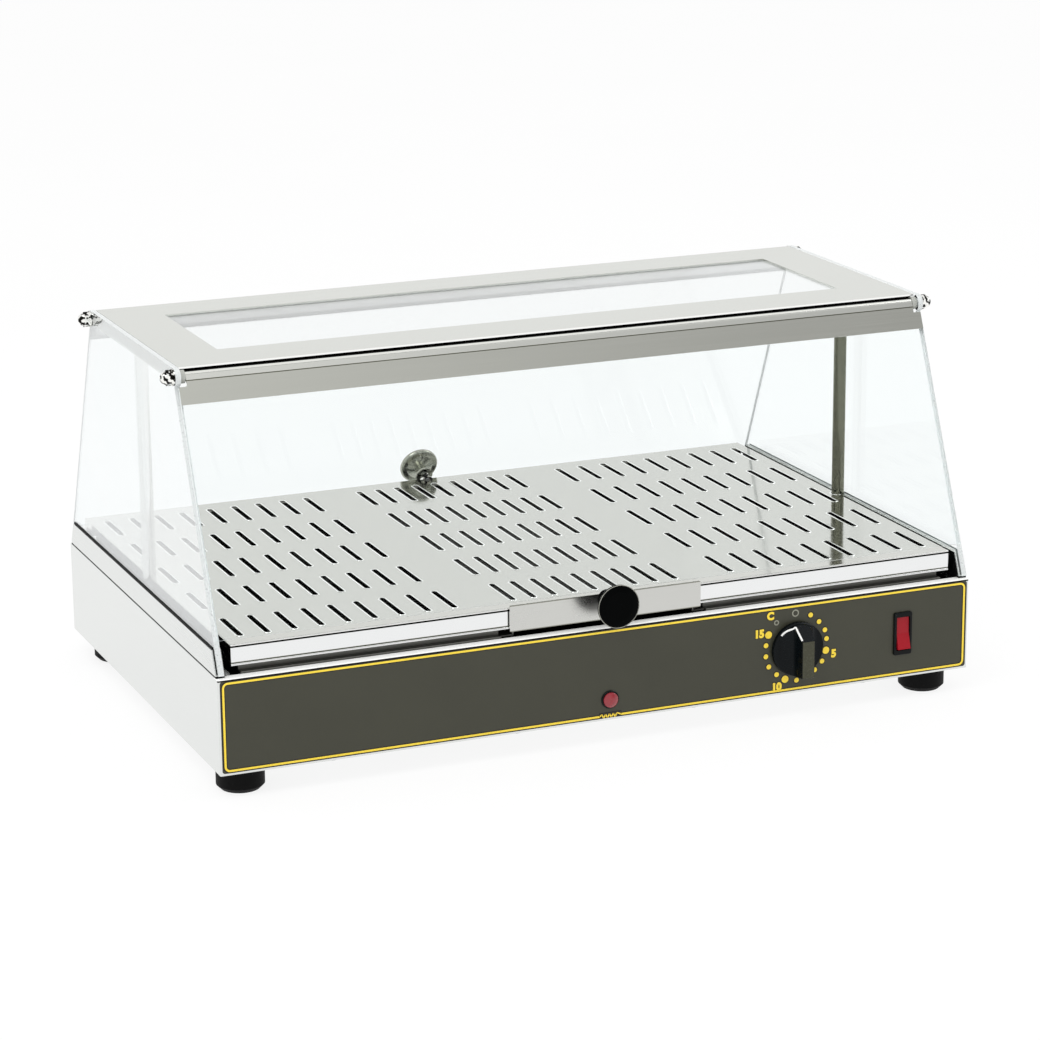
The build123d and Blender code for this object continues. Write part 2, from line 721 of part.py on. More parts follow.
def pull_knob(reach):
    """Mushroom knob along +Z: flared base at Z = 0, thick rounded rim at its reach."""
    rim_low = reach - PULL_RIM
    bore_r = PULL_SCREW_R + FIT
    base = [(bore_r, 0), (PULL_BASE_R, 0), (PULL_BASE_R, PULL_BASE), (PULL_NECK_R, PULL_FLARE)]
    under = [(PULL_NECK_R, rim_low - PULL_UNDERSIDE), (PULL_R - PULL_SLOPE, rim_low), (PULL_R, rim_low)]
    crown = [(PULL_R, reach - PULL_CROWN), (PULL_R - PULL_SLOPE, reach), (0, reach)]
    bore = [(0, PULL_SCREW_DEPTH), (bore_r, PULL_SCREW_DEPTH)]
    knob = revolve(Plane.XZ * make_face(Polyline(*base, *under, *crown, *bore, close=True)), Axis.Z)
    rim = knob.edges().filter_by(GeomType.CIRCLE).sort_by(SortBy.RADIUS)[-2:]
    return fillet(rim, PULL_ROUND)


def rear_knob():
    return rear_of(on_pane(PANE_OUT, pull_knob(REAR_PULL_REACH)))


def rear_knob_stud():
    length = PULL_NUT + PANE + PULL_SCREW_DEPTH + GAP
    return rear_of(on_pane(PANE_IN - PULL_NUT - GAP, Pos(0, 0, length / 2) * Cylinder(PULL_SCREW_R, length)))


def rear_knob_nut():
    nut = Rot(0, 0, 15) * hex_nut(PULL_NUT_FLATS, PULL_NUT, PULL_SCREW_R + FIT)
    return rear_of(on_pane(PANE_IN - PULL_NUT, nut))


def along_tray(count, length, margin):
    """Y centres of slots spread over the tray, whose outer ends keep a margin from its edges."""
    first = TRAY_FRONT_Y + margin + length / 2
    last = TRAY_REAR_Y - margin - length / 2
    return [first + i * (last - first) / (count - 1) for i in range(count)]


def tray():
    """Deck tray: pressed sheet with skirts, a beaded front edge, slots in rows, and cut-outs at its edges."""
    skirt_low = TRAY_Z - TRAY_SKIRT
    outside = block((-TRAY_X, TRAY_X), (TRAY_FRONT_Y, TRAY_REAR_Y), (skirt_low, TRAY_Z))
    bends = outside.edges().filter_by(Axis.Z) + outside.edges().group_by(Axis.Z)[-1]
    outside = fillet(bends, TRAY_BEND)
    inner = block((-TRAY_X + TRAY, TRAY_X - TRAY), (TRAY_FRONT_Y + TRAY, TRAY_REAR_Y - TRAY),
                  (skirt_low - TRAY, TRAY_Z - TRAY))
    sheet = outside - inner
    sheet += rod_x(TRAY_BEAD_R, TRAY_BEND - TRAY_X, TRAY_X - TRAY_BEND, TRAY_FRONT_Y, skirt_low + TRAY_BEAD_R)
    slot = SlotOverall(SLOT_LENGTH, SLOT_WIDTH, rotation=90)
    side_x = TRAY_X - SIDE_GROUP_INSET
    groups = ((-side_x, SIDE_PITCH), (0.0, CENTRE_PITCH), (side_x, SIDE_PITCH))
    slots = Sketch()
    for y in along_tray(SLOT_ROWS, SLOT_LENGTH, SLOT_MARGIN):
        slots += [Pos(x, y) * place * slot for x, pitch in groups
                  for place in GridLocations(pitch, 1, SLOTS_PER_GROUP, 1)]
    sheet -= Pos(0, 0, TRAY_Z - 2 * TRAY) * extrude(slots, 3 * TRAY)
    side_slot = SlotOverall(SKIRT_SLOT_LENGTH, SKIRT_SLOT_WIDTH)
    middle_z = TRAY_Z - TRAY_SKIRT / 2
    side_ys = along_tray(SKIRT_SLOTS, SKIRT_SLOT_LENGTH, SKIRT_SLOT_MARGIN)
    side_slots = Sketch() + [Pos(y, middle_z) * side_slot for y in side_ys]
    for x in (-TRAY_X, TRAY_X):
        sheet -= Pos(x, 0, 0) * extrude(Plane.YZ * side_slots, 2 * TRAY, both=True)
    for side in (-1, 1):
        sheet -= rod_z(POST_R + SLIDE_GAP, skirt_low - TRAY, TRAY_Z + TRAY, side * POST_X, 0)
    half = pan_half() + GAP + SLIDE_GAP
    outside_y = TRAY_FRONT_Y - TRAY
    sheet -= block((-half, half), (outside_y, TRAY_FRONT_Y + 2 * TRAY), (skirt_low - TRAY, TRAY_Z - TRAY))
    screw_space = PULL_HEAD_R + 2 * SLIDE_GAP
    screw_y = (outside_y, TRAY_FRONT_Y + PULL_HEAD + TRAY)
    sheet -= block((-screw_space, screw_space), screw_y, (TRAY_Z - 2 * TRAY, TRAY_Z + TRAY))
    nut_space = PULL_NUT_FLATS / 2 + 3 * SLIDE_GAP
    sheet -= block((-nut_space, nut_space), (TRAY_REAR_Y - PULL_NUT - TRAY, TRAY_REAR_Y + TRAY),
                   (skirt_low - TRAY, TRAY_Z + TRAY))
    return sheet


def rail_section():
    """Z-shaped section of the front rail, from the cabinet top to the underside of the tray."""
    low = DECK_Z
    high = TRAY_Z - TRAY
    web = TRAY_FRONT_Y + RAIL_SET_BACK
    seat_back = web + RAIL_WIDTH
    foot_front = web - RAIL_FOOT
    seat = [(web, high), (seat_back, high), (seat_back, high - SHEET), (web + SHEET, high - SHEET)]
    foot_rim = [(web + SHEET, low), (foot_front, low), (foot_front, low + SHEET), (web, low + SHEET)]
    return Plane.YZ * make_face(Polyline(*seat, *foot_rim, close=True))


def rear_rail_y():
    """Front of the rear rail, a mirror image of the front one set in from the tray's rear skirt."""
    return TRAY_REAR_Y - RAIL_SET_BACK - RAIL_WIDTH


def tray_rails():
    """Rails that carry the tray: two short ones beside the drawer and a long one behind it."""
    end_x = TRAY_X - 2 * TRAY - POST_R
    start_x = pan_half() + SLIDE_GAP + RUNNER_FOOT + GAP
    short = Pos(start_x, 0, 0) * extrude(rail_section(), end_x - start_x)
    long = Pos(0, TRAY_REAR_Y + TRAY_FRONT_Y, 0) * rear_of(extrude(rail_section(), end_x, both=True))
    return both_sides(short) + [long]


def pan_half():
    return DRAWER_WIDTH / 2 - PAN_SIDE


def drawer_runner():
    """Right-hand runner: foot on the cabinet top, upright, and a ledge under the pan."""
    wall = pan_half() + SLIDE_GAP
    low = DECK_Z
    ledge_high = DECK_Z + PAN_LOW - GAP
    high = TRAY_Z - TRAY
    outside = wall + RUNNER_SHEET
    upright = [(wall, ledge_high), (wall, high), (outside, high), (outside, low + RUNNER_SHEET)]
    foot_rim = [(wall + RUNNER_FOOT, low + RUNNER_SHEET), (wall + RUNNER_FOOT, low), (wall, low)]
    ledge_x = wall - RUNNER_LEDGE
    ledge = [(wall, ledge_high - RUNNER_SHEET), (ledge_x, ledge_high - RUNNER_SHEET), (ledge_x, ledge_high)]
    section = Plane.XZ * make_face(Polyline(*upright, *foot_rim, *ledge, close=True))
    front = TRAY_FRONT_Y + 2 * TRAY + GAP
    length = rear_rail_y() - GAP - front
    return Pos(0, front + length, 0) * extrude(section, length)


def drawer_front():
    """Plate in front of the tray's skirt."""
    face = FRONT_Y + DRAWER_FACE
    half = DRAWER_WIDTH / 2
    height = (DECK_Z + DRAWER_FRONT_LOW, DECK_Z + DRAWER_FRONT_HIGH)
    plate = block((-half, half), (face, face + DRAWER_SHEET), height)
    plate = fillet(plate.edges().filter_by(Axis.Y), DRAWER_CORNER)
    hole_y = (face - DRAWER_SHEET, face + 2 * DRAWER_SHEET)
    return plate - rod_y(PULL_SCREW_R + FIT, *hole_y, 0, DECK_Z + DRAWER_PULL_Z)


def drawer_pan():
    """Shallow folded pan behind the drawer's front, with its rim just under the knob's screw."""
    front = FRONT_Y + DRAWER_FACE + DRAWER_SHEET
    low = DECK_Z + PAN_LOW
    half = pan_half()
    back = rear_rail_y() - PAN_BACK_GAP
    high = DECK_Z + DRAWER_PULL_Z - PULL_HEAD_R - GAP
    inner = half - PAN_SHEET
    pan = block((-half, half), (front, back), (low, high))
    inner_y = (front + PAN_SHEET, back - PAN_SHEET)
    return pan - block((-inner, inner), inner_y, (low + PAN_SHEET, high + PAN_SHEET))


def facing_front(y, x, z, shape):
    """Shape drawn along +Z, turned to point out of the front."""
    return Pos(x, y, z) * Rot(90, 0, 0) * shape


def drawer_knob():
    face = FRONT_Y + DRAWER_FACE
    return facing_front(face, 0, DECK_Z + DRAWER_PULL_Z, pull_knob(DRAWER_PULL_REACH))


def drawer_knob_screw():
    back = FRONT_Y + DRAWER_FACE + DRAWER_SHEET
    screw = pan_screw(PULL_SCREW_R, DRAWER_SHEET + PULL_SCREW_DEPTH - GAP, PULL_HEAD_R, PULL_HEAD)
    return facing_front(back, 0, DECK_Z + DRAWER_PULL_Z, screw)


def heating_element():
    """Right-hand tubular element: runs joined by half turns, both ends down through the cabinet top."""
    z = DECK_Z + ELEMENT_LIFT
    tail_z = DECK_Z - SHEET - ELEMENT_TAIL
    xs = element_runs()
    points = [(xs[0], -ELEMENT_HALF, tail_z), (xs[0], -ELEMENT_HALF, z)]
    radii = [ELEMENT_BEND]
    turn = ELEMENT_PITCH / 2 - GAP
    for i in range(ELEMENT_RUNS - 1):
        end = ELEMENT_HALF if i % 2 == 0 else -ELEMENT_HALF + ELEMENT_BEND
        points += [(xs[i], end, z), (xs[i + 1], end, z)]
        radii += [turn, turn]
    points += [(xs[-1], -ELEMENT_HALF, z), (xs[-1], -ELEMENT_HALF, tail_z)]
    radii += [ELEMENT_BEND]
    path = FilletPolyline(*points, radius=radii)
    tube = sweep(Plane(origin=points[0], z_dir=(0, 0, 1)) * Circle(ELEMENT_R), path=path)
    collar_high = DECK_Z - SHEET
    for x in (xs[0], xs[-1]):
        tube += rod_z(ELEMENT_COLLAR_R, collar_high - ELEMENT_COLLAR, collar_high + SHEET, x, -ELEMENT_HALF)
    return tube


def element_nuts():
    nut = hex_nut(ELEMENT_NUT_FLATS, ELEMENT_NUT, ELEMENT_COLLAR_R + FIT)
    return [Pos(x, y, DECK_Z - SHEET - ELEMENT_NUT) * nut for x, y in element_ends()]


def saddle(tube_r, lift):
    """Saddle on Z = 0 that cradles a tube along Y from below."""
    half = tube_r + CLIP_SHEET
    body = Polyline((-half, 0), (-half, lift), (half, lift), (half, 0), close=True)
    section = make_face(body) - Pos(0, lift) * Circle(tube_r + FIT)
    foot_width = Rectangle(2 * half + CLIP_WIDTH, CLIP_SHEET, align=(Align.CENTER, Align.MIN))
    space = lift - tube_r - 2 * CLIP_SHEET
    section = section + foot_width
    section -= Rectangle(2 * (half - CLIP_SHEET), space, align=(Align.CENTER, Align.MIN))
    return extrude(Plane.XZ * section, CLIP_WIDTH / 2, both=True)


def element_clips():
    """Saddles under the runs of both elements."""
    clip = saddle(ELEMENT_R, ELEMENT_LIFT)
    clip_y = ELEMENT_HALF - CLIP_INSET
    placed = []
    for x in (element_runs()[0], element_runs()[-1]):
        for y in (-clip_y, clip_y):
            placed += both_sides(Pos(x, y, DECK_Z) * clip)
    return placed


def insulation_pad():
    """Mineral wool under the cabinet top, clear of the posts' nuts and of the controls."""
    x = SIDE_X - PAD_SIDE
    high = DECK_Z - SHEET
    return block((-x, x), (FRONT_Y + PAD_FRONT, REAR_Y - PAD_REAR), (high - PAD, high))


def thermostat_body():
    """Switch housing behind the front wall, with a bore for the shaft."""
    z = BASE_Z + DIAL_Z
    half = STAT_SIZE / 2
    y0 = WALL_Y + SHEET
    body = block((DIAL_X - half, DIAL_X + half), (y0, y0 + STAT_DEPTH), (z - half, z + half))
    body = chamfer(body.edges().filter_by(Axis.Y), STAT_CHAMFER)
    body -= rod_y(SHAFT_R + FIT, y0 - GAP, y0 + SHAFT_IN_BODY + GAP, DIAL_X, z)
    for side in (-1, 1):
        x = DIAL_X + side * STAT_SCREW_PITCH / 2
        body -= rod_y(STAT_SCREW_R + FIT, y0 - GAP, y0 + SHAFT_IN_BODY, x, z)
    return body


def thermostat_screws():
    length = PANEL + SHEET + SHAFT_IN_BODY - GAP
    screw = pan_screw(STAT_SCREW_R, length, STAT_HEAD_R, STAT_HEAD)
    turned = Rot(180, 0, 0) * screw
    places = [DIAL_X + side * STAT_SCREW_PITCH / 2 for side in (-1, 1)]
    return [facing_front(FRONT_Y, x, BASE_Z + DIAL_Z, turned) for x in places]


def thermostat_bulb():
    """Sensing bulb on its capillary, which rises from the thermostat through the cabinet top."""
    z = DECK_Z + BULB_LIFT
    start = (BULB_X, FRONT_Y + CAPILLARY_SET_BACK, BASE_Z + DIAL_Z + STAT_SIZE / 2)
    path = FilletPolyline(start, (start[0], start[1], z), (BULB_X, BULB_FRONT_Y, z), radius=CAPILLARY_BEND)
    tube = sweep(Plane(origin=start, z_dir=(0, 0, 1)) * Circle(CAPILLARY_R), path=path)
    bulb = rod_y(BULB_R, BULB_FRONT_Y, BULB_FRONT_Y + BULB_LENGTH, BULB_X, z)
    return tube + bulb


def bulb_clips():
    clip = saddle(BULB_R, BULB_LIFT)
    ys = (BULB_FRONT_Y + CLIP_WIDTH, BULB_FRONT_Y + BULB_LENGTH - CLIP_WIDTH)
    return [Pos(BULB_X, y, DECK_Z) * clip for y in ys]


def thermostat_shaft():
    back = WALL_Y + SHEET + SHAFT_IN_BODY
    front = FRONT_Y - DIAL_REACH + DIAL_SKIRT
    return rod_y(SHAFT_R, front, back, DIAL_X, BASE_Z + DIAL_Z)


def dial_grip(height):
    """Grip bar along +Y with hollowed flanks, an inclined tip and a drafted end, standing on Z = 0."""
    half = DIAL_GRIP / 2
    root = half + DIAL_GRIP_DRAFT
    toe = root + DIAL_FLANK_R
    shoulder = DIAL_SKIRT + DIAL_FLANK_R
    bow = DIAL_FLANK_R * (1 - sin(radians(45)))
    flank = ThreePointArc((root, shoulder), (root + bow, DIAL_SKIRT + bow), (toe, DIAL_SKIRT))
    rim = Polyline((0, 0), (toe, 0), (toe, DIAL_SKIRT))
    crest = Polyline((root, shoulder), (half, height), (0, height), (0, 0))
    right = Plane.XZ * make_face(rim + flank + crest)
    bar = extrude(right + left_of(right), DIAL_R, both=True)
    bar &= Pos(0, 0, height / 2) * Cone(DIAL_R - GAP, DIAL_R - DIAL_DRAFT, height)
    tip = Polyline((DIAL_TIP, height), (DIAL_R, DIAL_SKIRT), (DIAL_R, height), close=True)
    bar -= extrude(Plane.YZ * make_face(tip), DIAL_R, both=True)
    return fillet(bar.faces().filter_by(Plane.XY).sort_by(Axis.Z)[-1].edges(), DIAL_EDGE)


def dial_knob():
    """Round skirt with the grip bar across it, hollow underneath."""
    height = DIAL_REACH - DIAL_STAND_OFF
    skirt = Pos(0, 0, DIAL_SKIRT / 2) * Cylinder(DIAL_R, DIAL_SKIRT)
    skirt = chamfer(skirt.edges().group_by(Axis.Z)[-1], DIAL_EDGE)
    knob = skirt + dial_grip(height)
    hollow = Cylinder(DIAL_HOLLOW_R, 2 * DIAL_HOLLOW) - Cylinder(DIAL_BOSS_R, 2 * DIAL_HOLLOW)
    knob -= hollow
    bore = height - DIAL_SKIRT
    knob -= Pos(0, 0, bore / 2) * Cylinder(SHAFT_R + FIT, bore + 2 * FIT)
    return facing_front(FRONT_Y - DIAL_STAND_OFF, DIAL_X, BASE_Z + DIAL_Z, knob)


def switch_body():
    """Bezel and housing of the rocker switch, with the rocker's pocket."""
    z = BASE_Z + SWITCH_Z
    frame = extrude(RectangleRounded(BEZEL_WIDTH, BEZEL_HEIGHT, BEZEL_CORNER), BEZEL)
    frame = fillet(frame.faces().sort_by(Axis.Z)[-1].edges(), BEZEL_EDGE)
    housing = Pos(0, 0, -SWITCH_DEPTH / 2) * Box(SWITCH_BODY_WIDTH, SWITCH_BODY_HEIGHT, SWITCH_DEPTH)
    pocket_x = ROCKER_WIDTH / 2 + GAP + FIT
    pocket_z = hypot(ROCKER_HALF, ROCKER_OUT) + GAP
    swing = ROCKER_IN + ROCKER_HALF * sin(radians(ROCKER_TILT)) + GAP
    depth = ROCKER_PIVOT_DEPTH + swing
    body = frame + housing
    body -= block((-pocket_x, pocket_x), (-pocket_z, pocket_z), (-depth, 2 * BEZEL))
    pin_end = ROCKER_WIDTH / 2 + GAP + ROCKER_PIN_END
    body -= Pos(0, 0, -ROCKER_PIVOT_DEPTH) * Rot(0, 90, 0) * Cylinder(ROCKER_PIN_R + FIT, 2 * (pin_end + FIT))
    return facing_front(FRONT_Y, SWITCH_X, z, body)


def switch_rocker():
    """Dished rocker on its pin, resting with the lower end out."""
    half = [(ROCKER_BACK_HALF, -ROCKER_IN), (ROCKER_HALF, -ROCKER_EDGE), (ROCKER_HALF, ROCKER_OUT)]
    other_half = [(-y, z) for y, z in reversed(half)]
    outline = Polyline(*half, (0, ROCKER_OUT - ROCKER_DISH), *other_half, close=True)
    rocker = extrude(Plane.YZ * make_face(outline), ROCKER_WIDTH / 2, both=True)
    pin_end = ROCKER_WIDTH / 2 + GAP + ROCKER_PIN_END
    rocker += Rot(0, 90, 0) * Cylinder(ROCKER_PIN_R, 2 * pin_end)
    tilted = Rot(-ROCKER_TILT, 0, 0) * rocker
    return facing_front(FRONT_Y + ROCKER_PIVOT_DEPTH, SWITCH_X, BASE_Z + SWITCH_Z, tilted)


def lamp_body():
    """Signal lamp's bezel and barrel."""
    barrel = [(0, -LAMP_DEPTH), (LAMP_BARREL_R, -LAMP_DEPTH), (LAMP_BARREL_R, 0)]
    rim = [(LAMP_R, 0), (LAMP_R, LAMP_BEZEL - LAMP_CHAMFER)]
    face = [(LAMP_R - LAMP_CHAMFER, LAMP_BEZEL), (0, LAMP_BEZEL)]
    outline = make_face(Polyline(*barrel, *rim, *face, close=True))
    return facing_front(FRONT_Y, 0, BASE_Z + LAMP_Z, revolve(Plane.XZ * outline, Axis.Z))


def lamp_lens():
    """Domed red lens on the bezel."""
    rim = LAMP_BEZEL + LAMP_LENS_RIM
    top = LAMP_BEZEL + LAMP_LENS_OUT
    sides = Polyline((0, top), (0, LAMP_BEZEL), (LAMP_LENS_R, LAMP_BEZEL), (LAMP_LENS_R, rim))
    outline = make_face(sides + dome_arc(LAMP_LENS_R, rim, top - rim))
    return facing_front(FRONT_Y, 0, BASE_Z + LAMP_Z, revolve(Plane.XZ * outline, Axis.Z))


def cable_gland():
    """Cable gland in the rear wall, drawn outwards: thread, hexagon and domed cap round the bore."""
    end = -SHEET - GLAND_INSIDE
    thread = [(GLAND_BORE_R, end), (GLAND_THREAD_R, end), (GLAND_THREAD_R, 0), (GLAND_R, 0)]
    cap = [(GLAND_R, GLAND_REACH - GLAND_DOME), (GLAND_BORE_R + GLAND_MOUTH, GLAND_REACH)]
    mouth = (GLAND_BORE_R, GLAND_REACH)
    gland = revolve(Plane.XZ * make_face(Polyline(*thread, *cap, mouth, close=True)), Axis.Z)
    gland += extrude(RegularPolygon(GLAND_FLATS / 2, 6, major_radius=False) - Circle(GLAND_BORE_R), GLAND_HEX)
    return rear_of(facing_front(FRONT_Y, GLAND_X, BASE_Z + GLAND_Z, gland))


def gland_nut():
    nut = Pos(0, 0, -SHEET - GLAND_NUT) * hex_nut(GLAND_FLATS, GLAND_NUT, GLAND_THREAD_R + FIT)
    return rear_of(facing_front(FRONT_Y, GLAND_X, BASE_Z + GLAND_Z, nut))


def terminal_block():
    """Terminal strip on the base plate beside the gland, with a screw well in each way."""
    pitch = TERMINAL_LENGTH / TERMINAL_WAYS
    section = RectangleRounded(TERMINAL_WIDTH, TERMINAL_HEIGHT, TERMINAL_CORNER)
    strip = extrude(Plane.YZ * section, TERMINAL_LENGTH / 2, both=True)
    places = GridLocations(pitch, TERMINAL_WIDTH / 2, TERMINAL_WAYS, 2)
    wells = Sketch() + [place * Circle(TERMINAL_WELL_R) for place in places]
    strip -= Pos(0, 0, TERMINAL_HEIGHT / 4) * extrude(wells, TERMINAL_HEIGHT)
    return Pos(GLAND_X, REAR_Y - TERMINAL_SET_BACK, BASE_Z + SHEET + TERMINAL_HEIGHT / 2) * strip


def pieces():
    """Every node by name."""
    element = heating_element()
    right_channel = channel()
    right_glass = side_glass()
    right_post = post()
    right_runner = drawer_runner()
    profile = flap_profile()
    rod = hinge_rod()
    return {
        "cabinet_shell": cabinet_shell(),
        "base_plate": base_plate(),
        "front_panel": front_panel(),
        "feet": feet(),
        "foot_screws": foot_screws(),
        "foot_nuts": foot_nuts(),
        "base_screws": base_screws(),
        "glass_channel_left": left_of(right_channel),
        "glass_channel_right": right_channel,
        "channel_seals": channel_seals(),
        "edge_trims": edge_trims(),
        "glazing_gaskets": glazing_gaskets(),
        "side_glass_left": left_of(right_glass),
        "side_glass_right": right_glass,
        "post_left": left_of(right_post),
        "post_right": right_post,
        "post_nuts": post_nuts(),
        "top_frame": top_frame(),
        "window_glass": window_glass(),
        "window_beads": window_beads(),
        "hinge_rod_front": rod,
        "hinge_rod_rear": rear_of(rod),
        "rod_washers": rod_washers(),
        "rod_nuts": rod_nuts(),
        "hinge_spacers": hinge_spacers(),
        "front_flap_profile": profile,
        "front_flap_glass": front_flap_glass(),
        "rear_flap_profile": rear_of(profile),
        "rear_flap_glass": rear_flap_glass(),
        "rear_knob": rear_knob(),
        "rear_knob_stud": rear_knob_stud(),
        "rear_knob_nut": rear_knob_nut(),
        "tray": tray(),
        "tray_rails": tray_rails(),
        "drawer_runner_left": left_of(right_runner),
        "drawer_runner_right": right_runner,
        "drawer_front": drawer_front(),
        "drawer_pan": drawer_pan(),
        "drawer_knob": drawer_knob(),
        "drawer_knob_screw": drawer_knob_screw(),
        "heating_element_left": left_of(element),
        "heating_element_right": element,
        "element_nuts": element_nuts(),
        "element_clips": element_clips(),
        "insulation_pad": insulation_pad(),
        "thermostat_body": thermostat_body(),
        "thermostat_screws": thermostat_screws(),
        "thermostat_bulb": thermostat_bulb(),
        "bulb_clips": bulb_clips(),
        "thermostat_shaft": thermostat_shaft(),
        "dial_knob": dial_knob(),
        "switch_body": switch_body(),
        "switch_rocker": switch_rocker(),
        "lamp_body": lamp_body(),
        "lamp_lens": lamp_lens(),
        "cable_gland": cable_gland(),
        "gland_nut": gland_nut(),
        "terminal_block": terminal_block(),
    }


def write(name, shape):
    """One STEP file for each node; a list becomes a group of separate solids."""
    solids = []
    for item in shape if isinstance(shape, list) else [shape]:
        solids += item.solids()
    node = solids[0] if len(solids) == 1 else Compound(children=solids)
    node.label = name
    export_step(node, f"parts/{name}.step")


for name, shape in pieces().items():
    write(name, shape)
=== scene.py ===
"""Looks of the heated display case, in metres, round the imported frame."""
import math

import bmesh
import bpy
from mathutils import Matrix, Vector

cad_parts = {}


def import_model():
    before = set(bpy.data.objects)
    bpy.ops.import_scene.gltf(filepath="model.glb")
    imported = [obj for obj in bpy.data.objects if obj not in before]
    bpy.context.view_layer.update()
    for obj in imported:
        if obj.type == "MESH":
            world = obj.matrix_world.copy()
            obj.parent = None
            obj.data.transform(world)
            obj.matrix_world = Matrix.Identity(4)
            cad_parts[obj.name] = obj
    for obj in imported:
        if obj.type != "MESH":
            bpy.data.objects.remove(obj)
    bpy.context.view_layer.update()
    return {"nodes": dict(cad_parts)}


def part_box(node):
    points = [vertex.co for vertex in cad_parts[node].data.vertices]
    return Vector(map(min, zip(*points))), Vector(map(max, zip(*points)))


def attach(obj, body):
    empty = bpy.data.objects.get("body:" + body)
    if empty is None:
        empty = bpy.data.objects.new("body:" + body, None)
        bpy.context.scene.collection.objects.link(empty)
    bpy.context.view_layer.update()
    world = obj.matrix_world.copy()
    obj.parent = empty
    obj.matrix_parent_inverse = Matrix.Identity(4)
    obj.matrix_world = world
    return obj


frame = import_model()
NODES = frame["nodes"]


def rgb(r, g, b):
    """Colour from the 0 to 255 values of a screen."""
    def linear(v):
        v /= 255
        return v / 12.92 if v <= 0.04045 else ((v + 0.055) / 1.055) ** 2.4
    return (linear(r), linear(g), linear(b), 1.0)


# Places read off the frame
PANEL_LOW, PANEL_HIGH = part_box("front_panel")
PANEL_Y = PANEL_LOW.y
SHELL_LOW, SHELL_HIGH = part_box("cabinet_shell")
DIAL_LOW, DIAL_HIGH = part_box("dial_knob")
DIAL_X = (DIAL_LOW.x + DIAL_HIGH.x) / 2
DIAL_Z = (DIAL_LOW.z + DIAL_HIGH.z) / 2
TRAY_LOW, TRAY_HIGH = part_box("tray")
FRAME_LOW, FRAME_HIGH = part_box("top_frame")
BAND_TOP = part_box("front_flap_profile")[1].z
POST_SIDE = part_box("post_right")[1].x
DRAWER_LOW, DRAWER_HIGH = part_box("drawer_front")
KNOB_LOW, KNOB_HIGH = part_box("drawer_knob")

# Camera: its place, its turns in degrees, its film and its lens in millimetres
CAMERA_PLACE = (-0.955, -2.3175, 0.825)
CAMERA_YAW = -22.584
CAMERA_TILT = -15.711
CAMERA_ROLL = 0.523
CAMERA_FILM = 36.0
CAMERA_LENS = 117.93
CAMERA_NEAR = 0.05
CAMERA_FAR = 60.0

# Lean of the front and rear panes from upright
LEAN = math.radians(23.1)

# Painted zones: how far one reaches past a face, and a limit beyond the whole object
REACH = 0.001
FAR = 1.0

# Cabinet's top rim: depth of its painted highlight, gap to the painted shade line under it, and that line's
# lap over the fascia
RIM_DEPTH = 0.0006
RIM_GAP = 0.0001
RIM_LAP = 0.0002

# Top frame's nose: the skin of its painted highlight, where the painted shade of the gap behind it starts,
# that shade's depth, and the sheet above it
NOSE_SKIN = 0.0004
NOSE_START = 0.0012
NOSE_DEPTH = 0.006
NOSE_LIP = 0.0013

# Front flap's roll: its height, painted pale as a highlight; the painted shade line under it; and its crest
# painted dark as the gap's shadow
ROLL_HEIGHT = 0.0055
ROLL_LINE = 0.0007
ROLL_CREST = 0.0004

# Tray's front: depths of its paler painted skirt and its fold's painted highlight, the fold's top and the
# painted reflection line under it, and the bead's painted shade line
SKIRT_DEPTH = 0.0012
FOLD_DEPTH = 0.0016
FOLD_TOP = 0.0010
FOLD_LINE = 0.0023
BEAD_START = 0.0018
BEAD_END = 0.0026

# Grey painted shade on the drawer front's edges, bright painted highlight on the right post's edge, and
# painted reflection on the dial grip's front
DRAWER_EDGE = 0.0006
POST_EDGE = 0.0014
GRIP_FRONT = 0.004

# Colours used by several materials: white for painted highlights, dark for painted shade, then clear glass
# and its ground edge
HIGHLIGHT_WHITE = rgb(252, 252, 250)
SHADE_DARK = rgb(22, 22, 18)
CLEAR = rgb(252, 254, 254)
GROUND_EDGE = rgb(214, 220, 219)

# Grain of brushed sheet: how a noise is stretched along X or along Y, and the depth of fine marks
GRAIN_X = (6, 900, 900)
GRAIN_Y = (900, 6, 900)
FINE = 0.00002

# What a matt zone and a satin face take from the metal's shine, and what a matt zone adds to its roughness
MATT_METAL_LOSS = 0.9
MATT_ROUGHER = 0.4
SATIN_METAL_LOSS = 0.8

# Thickness of print
PRINT = 0.00012

# Border in millimetres on the fascia: insets, corners, half its width, sides of its black edge, and its gap
BORDER_INSET_X = 3.8
BORDER_INSET_Z = 3.2
BORDER_CORNER = 3.4
BORDER_CORNER_STEPS = 6
BORDER_HALF = 0.75
BORDER_EDGE_IN = -1.4
BORDER_EDGE_OUT = 1.7
BORDER_GAP = (287.0, 303.5)

# Dots, rings and figures: places in millimetres on the fascia, radii and sizes in metres, weights as shares
BIG_DOTS = ((422.5, 47.5), (436.5, 11.5), (470.0, 29.5))
SMALL_DOTS = ((420.5, 39.5), (420.5, 31.0), (423.0, 22.8), (429.5, 16.0), (446.0, 9.5), (461.0, 15.5),
              (467.0, 21.5), (470.5, 38.5), (469.0, 45.5), (464.0, 52.5), (457.0, 58.5))
BIG_DOT_R = 0.0028
SMALL_DOT_R = 0.0019
DOT_EDGE = 0.0007
DOT_SIDES = 28
RING_SIDES = 32
RINGS = ((444.5, 61.5, 0.0028, 0.0019), (429.0, 56.0, 0.0020, 0.0012))
LABELS = (("scale_15", "15", 414.9, 48.9, 0.0080), ("scale_10", "10", 429.5, 6.2, 0.0080),
          ("scale_5", "5", 476.6, 26.0, 0.0080), ("scale_c", "C", 424.0, 61.5, 0.0078))
FIGURE_BOLD = 0.065
FIGURE_EDGE = 0.12

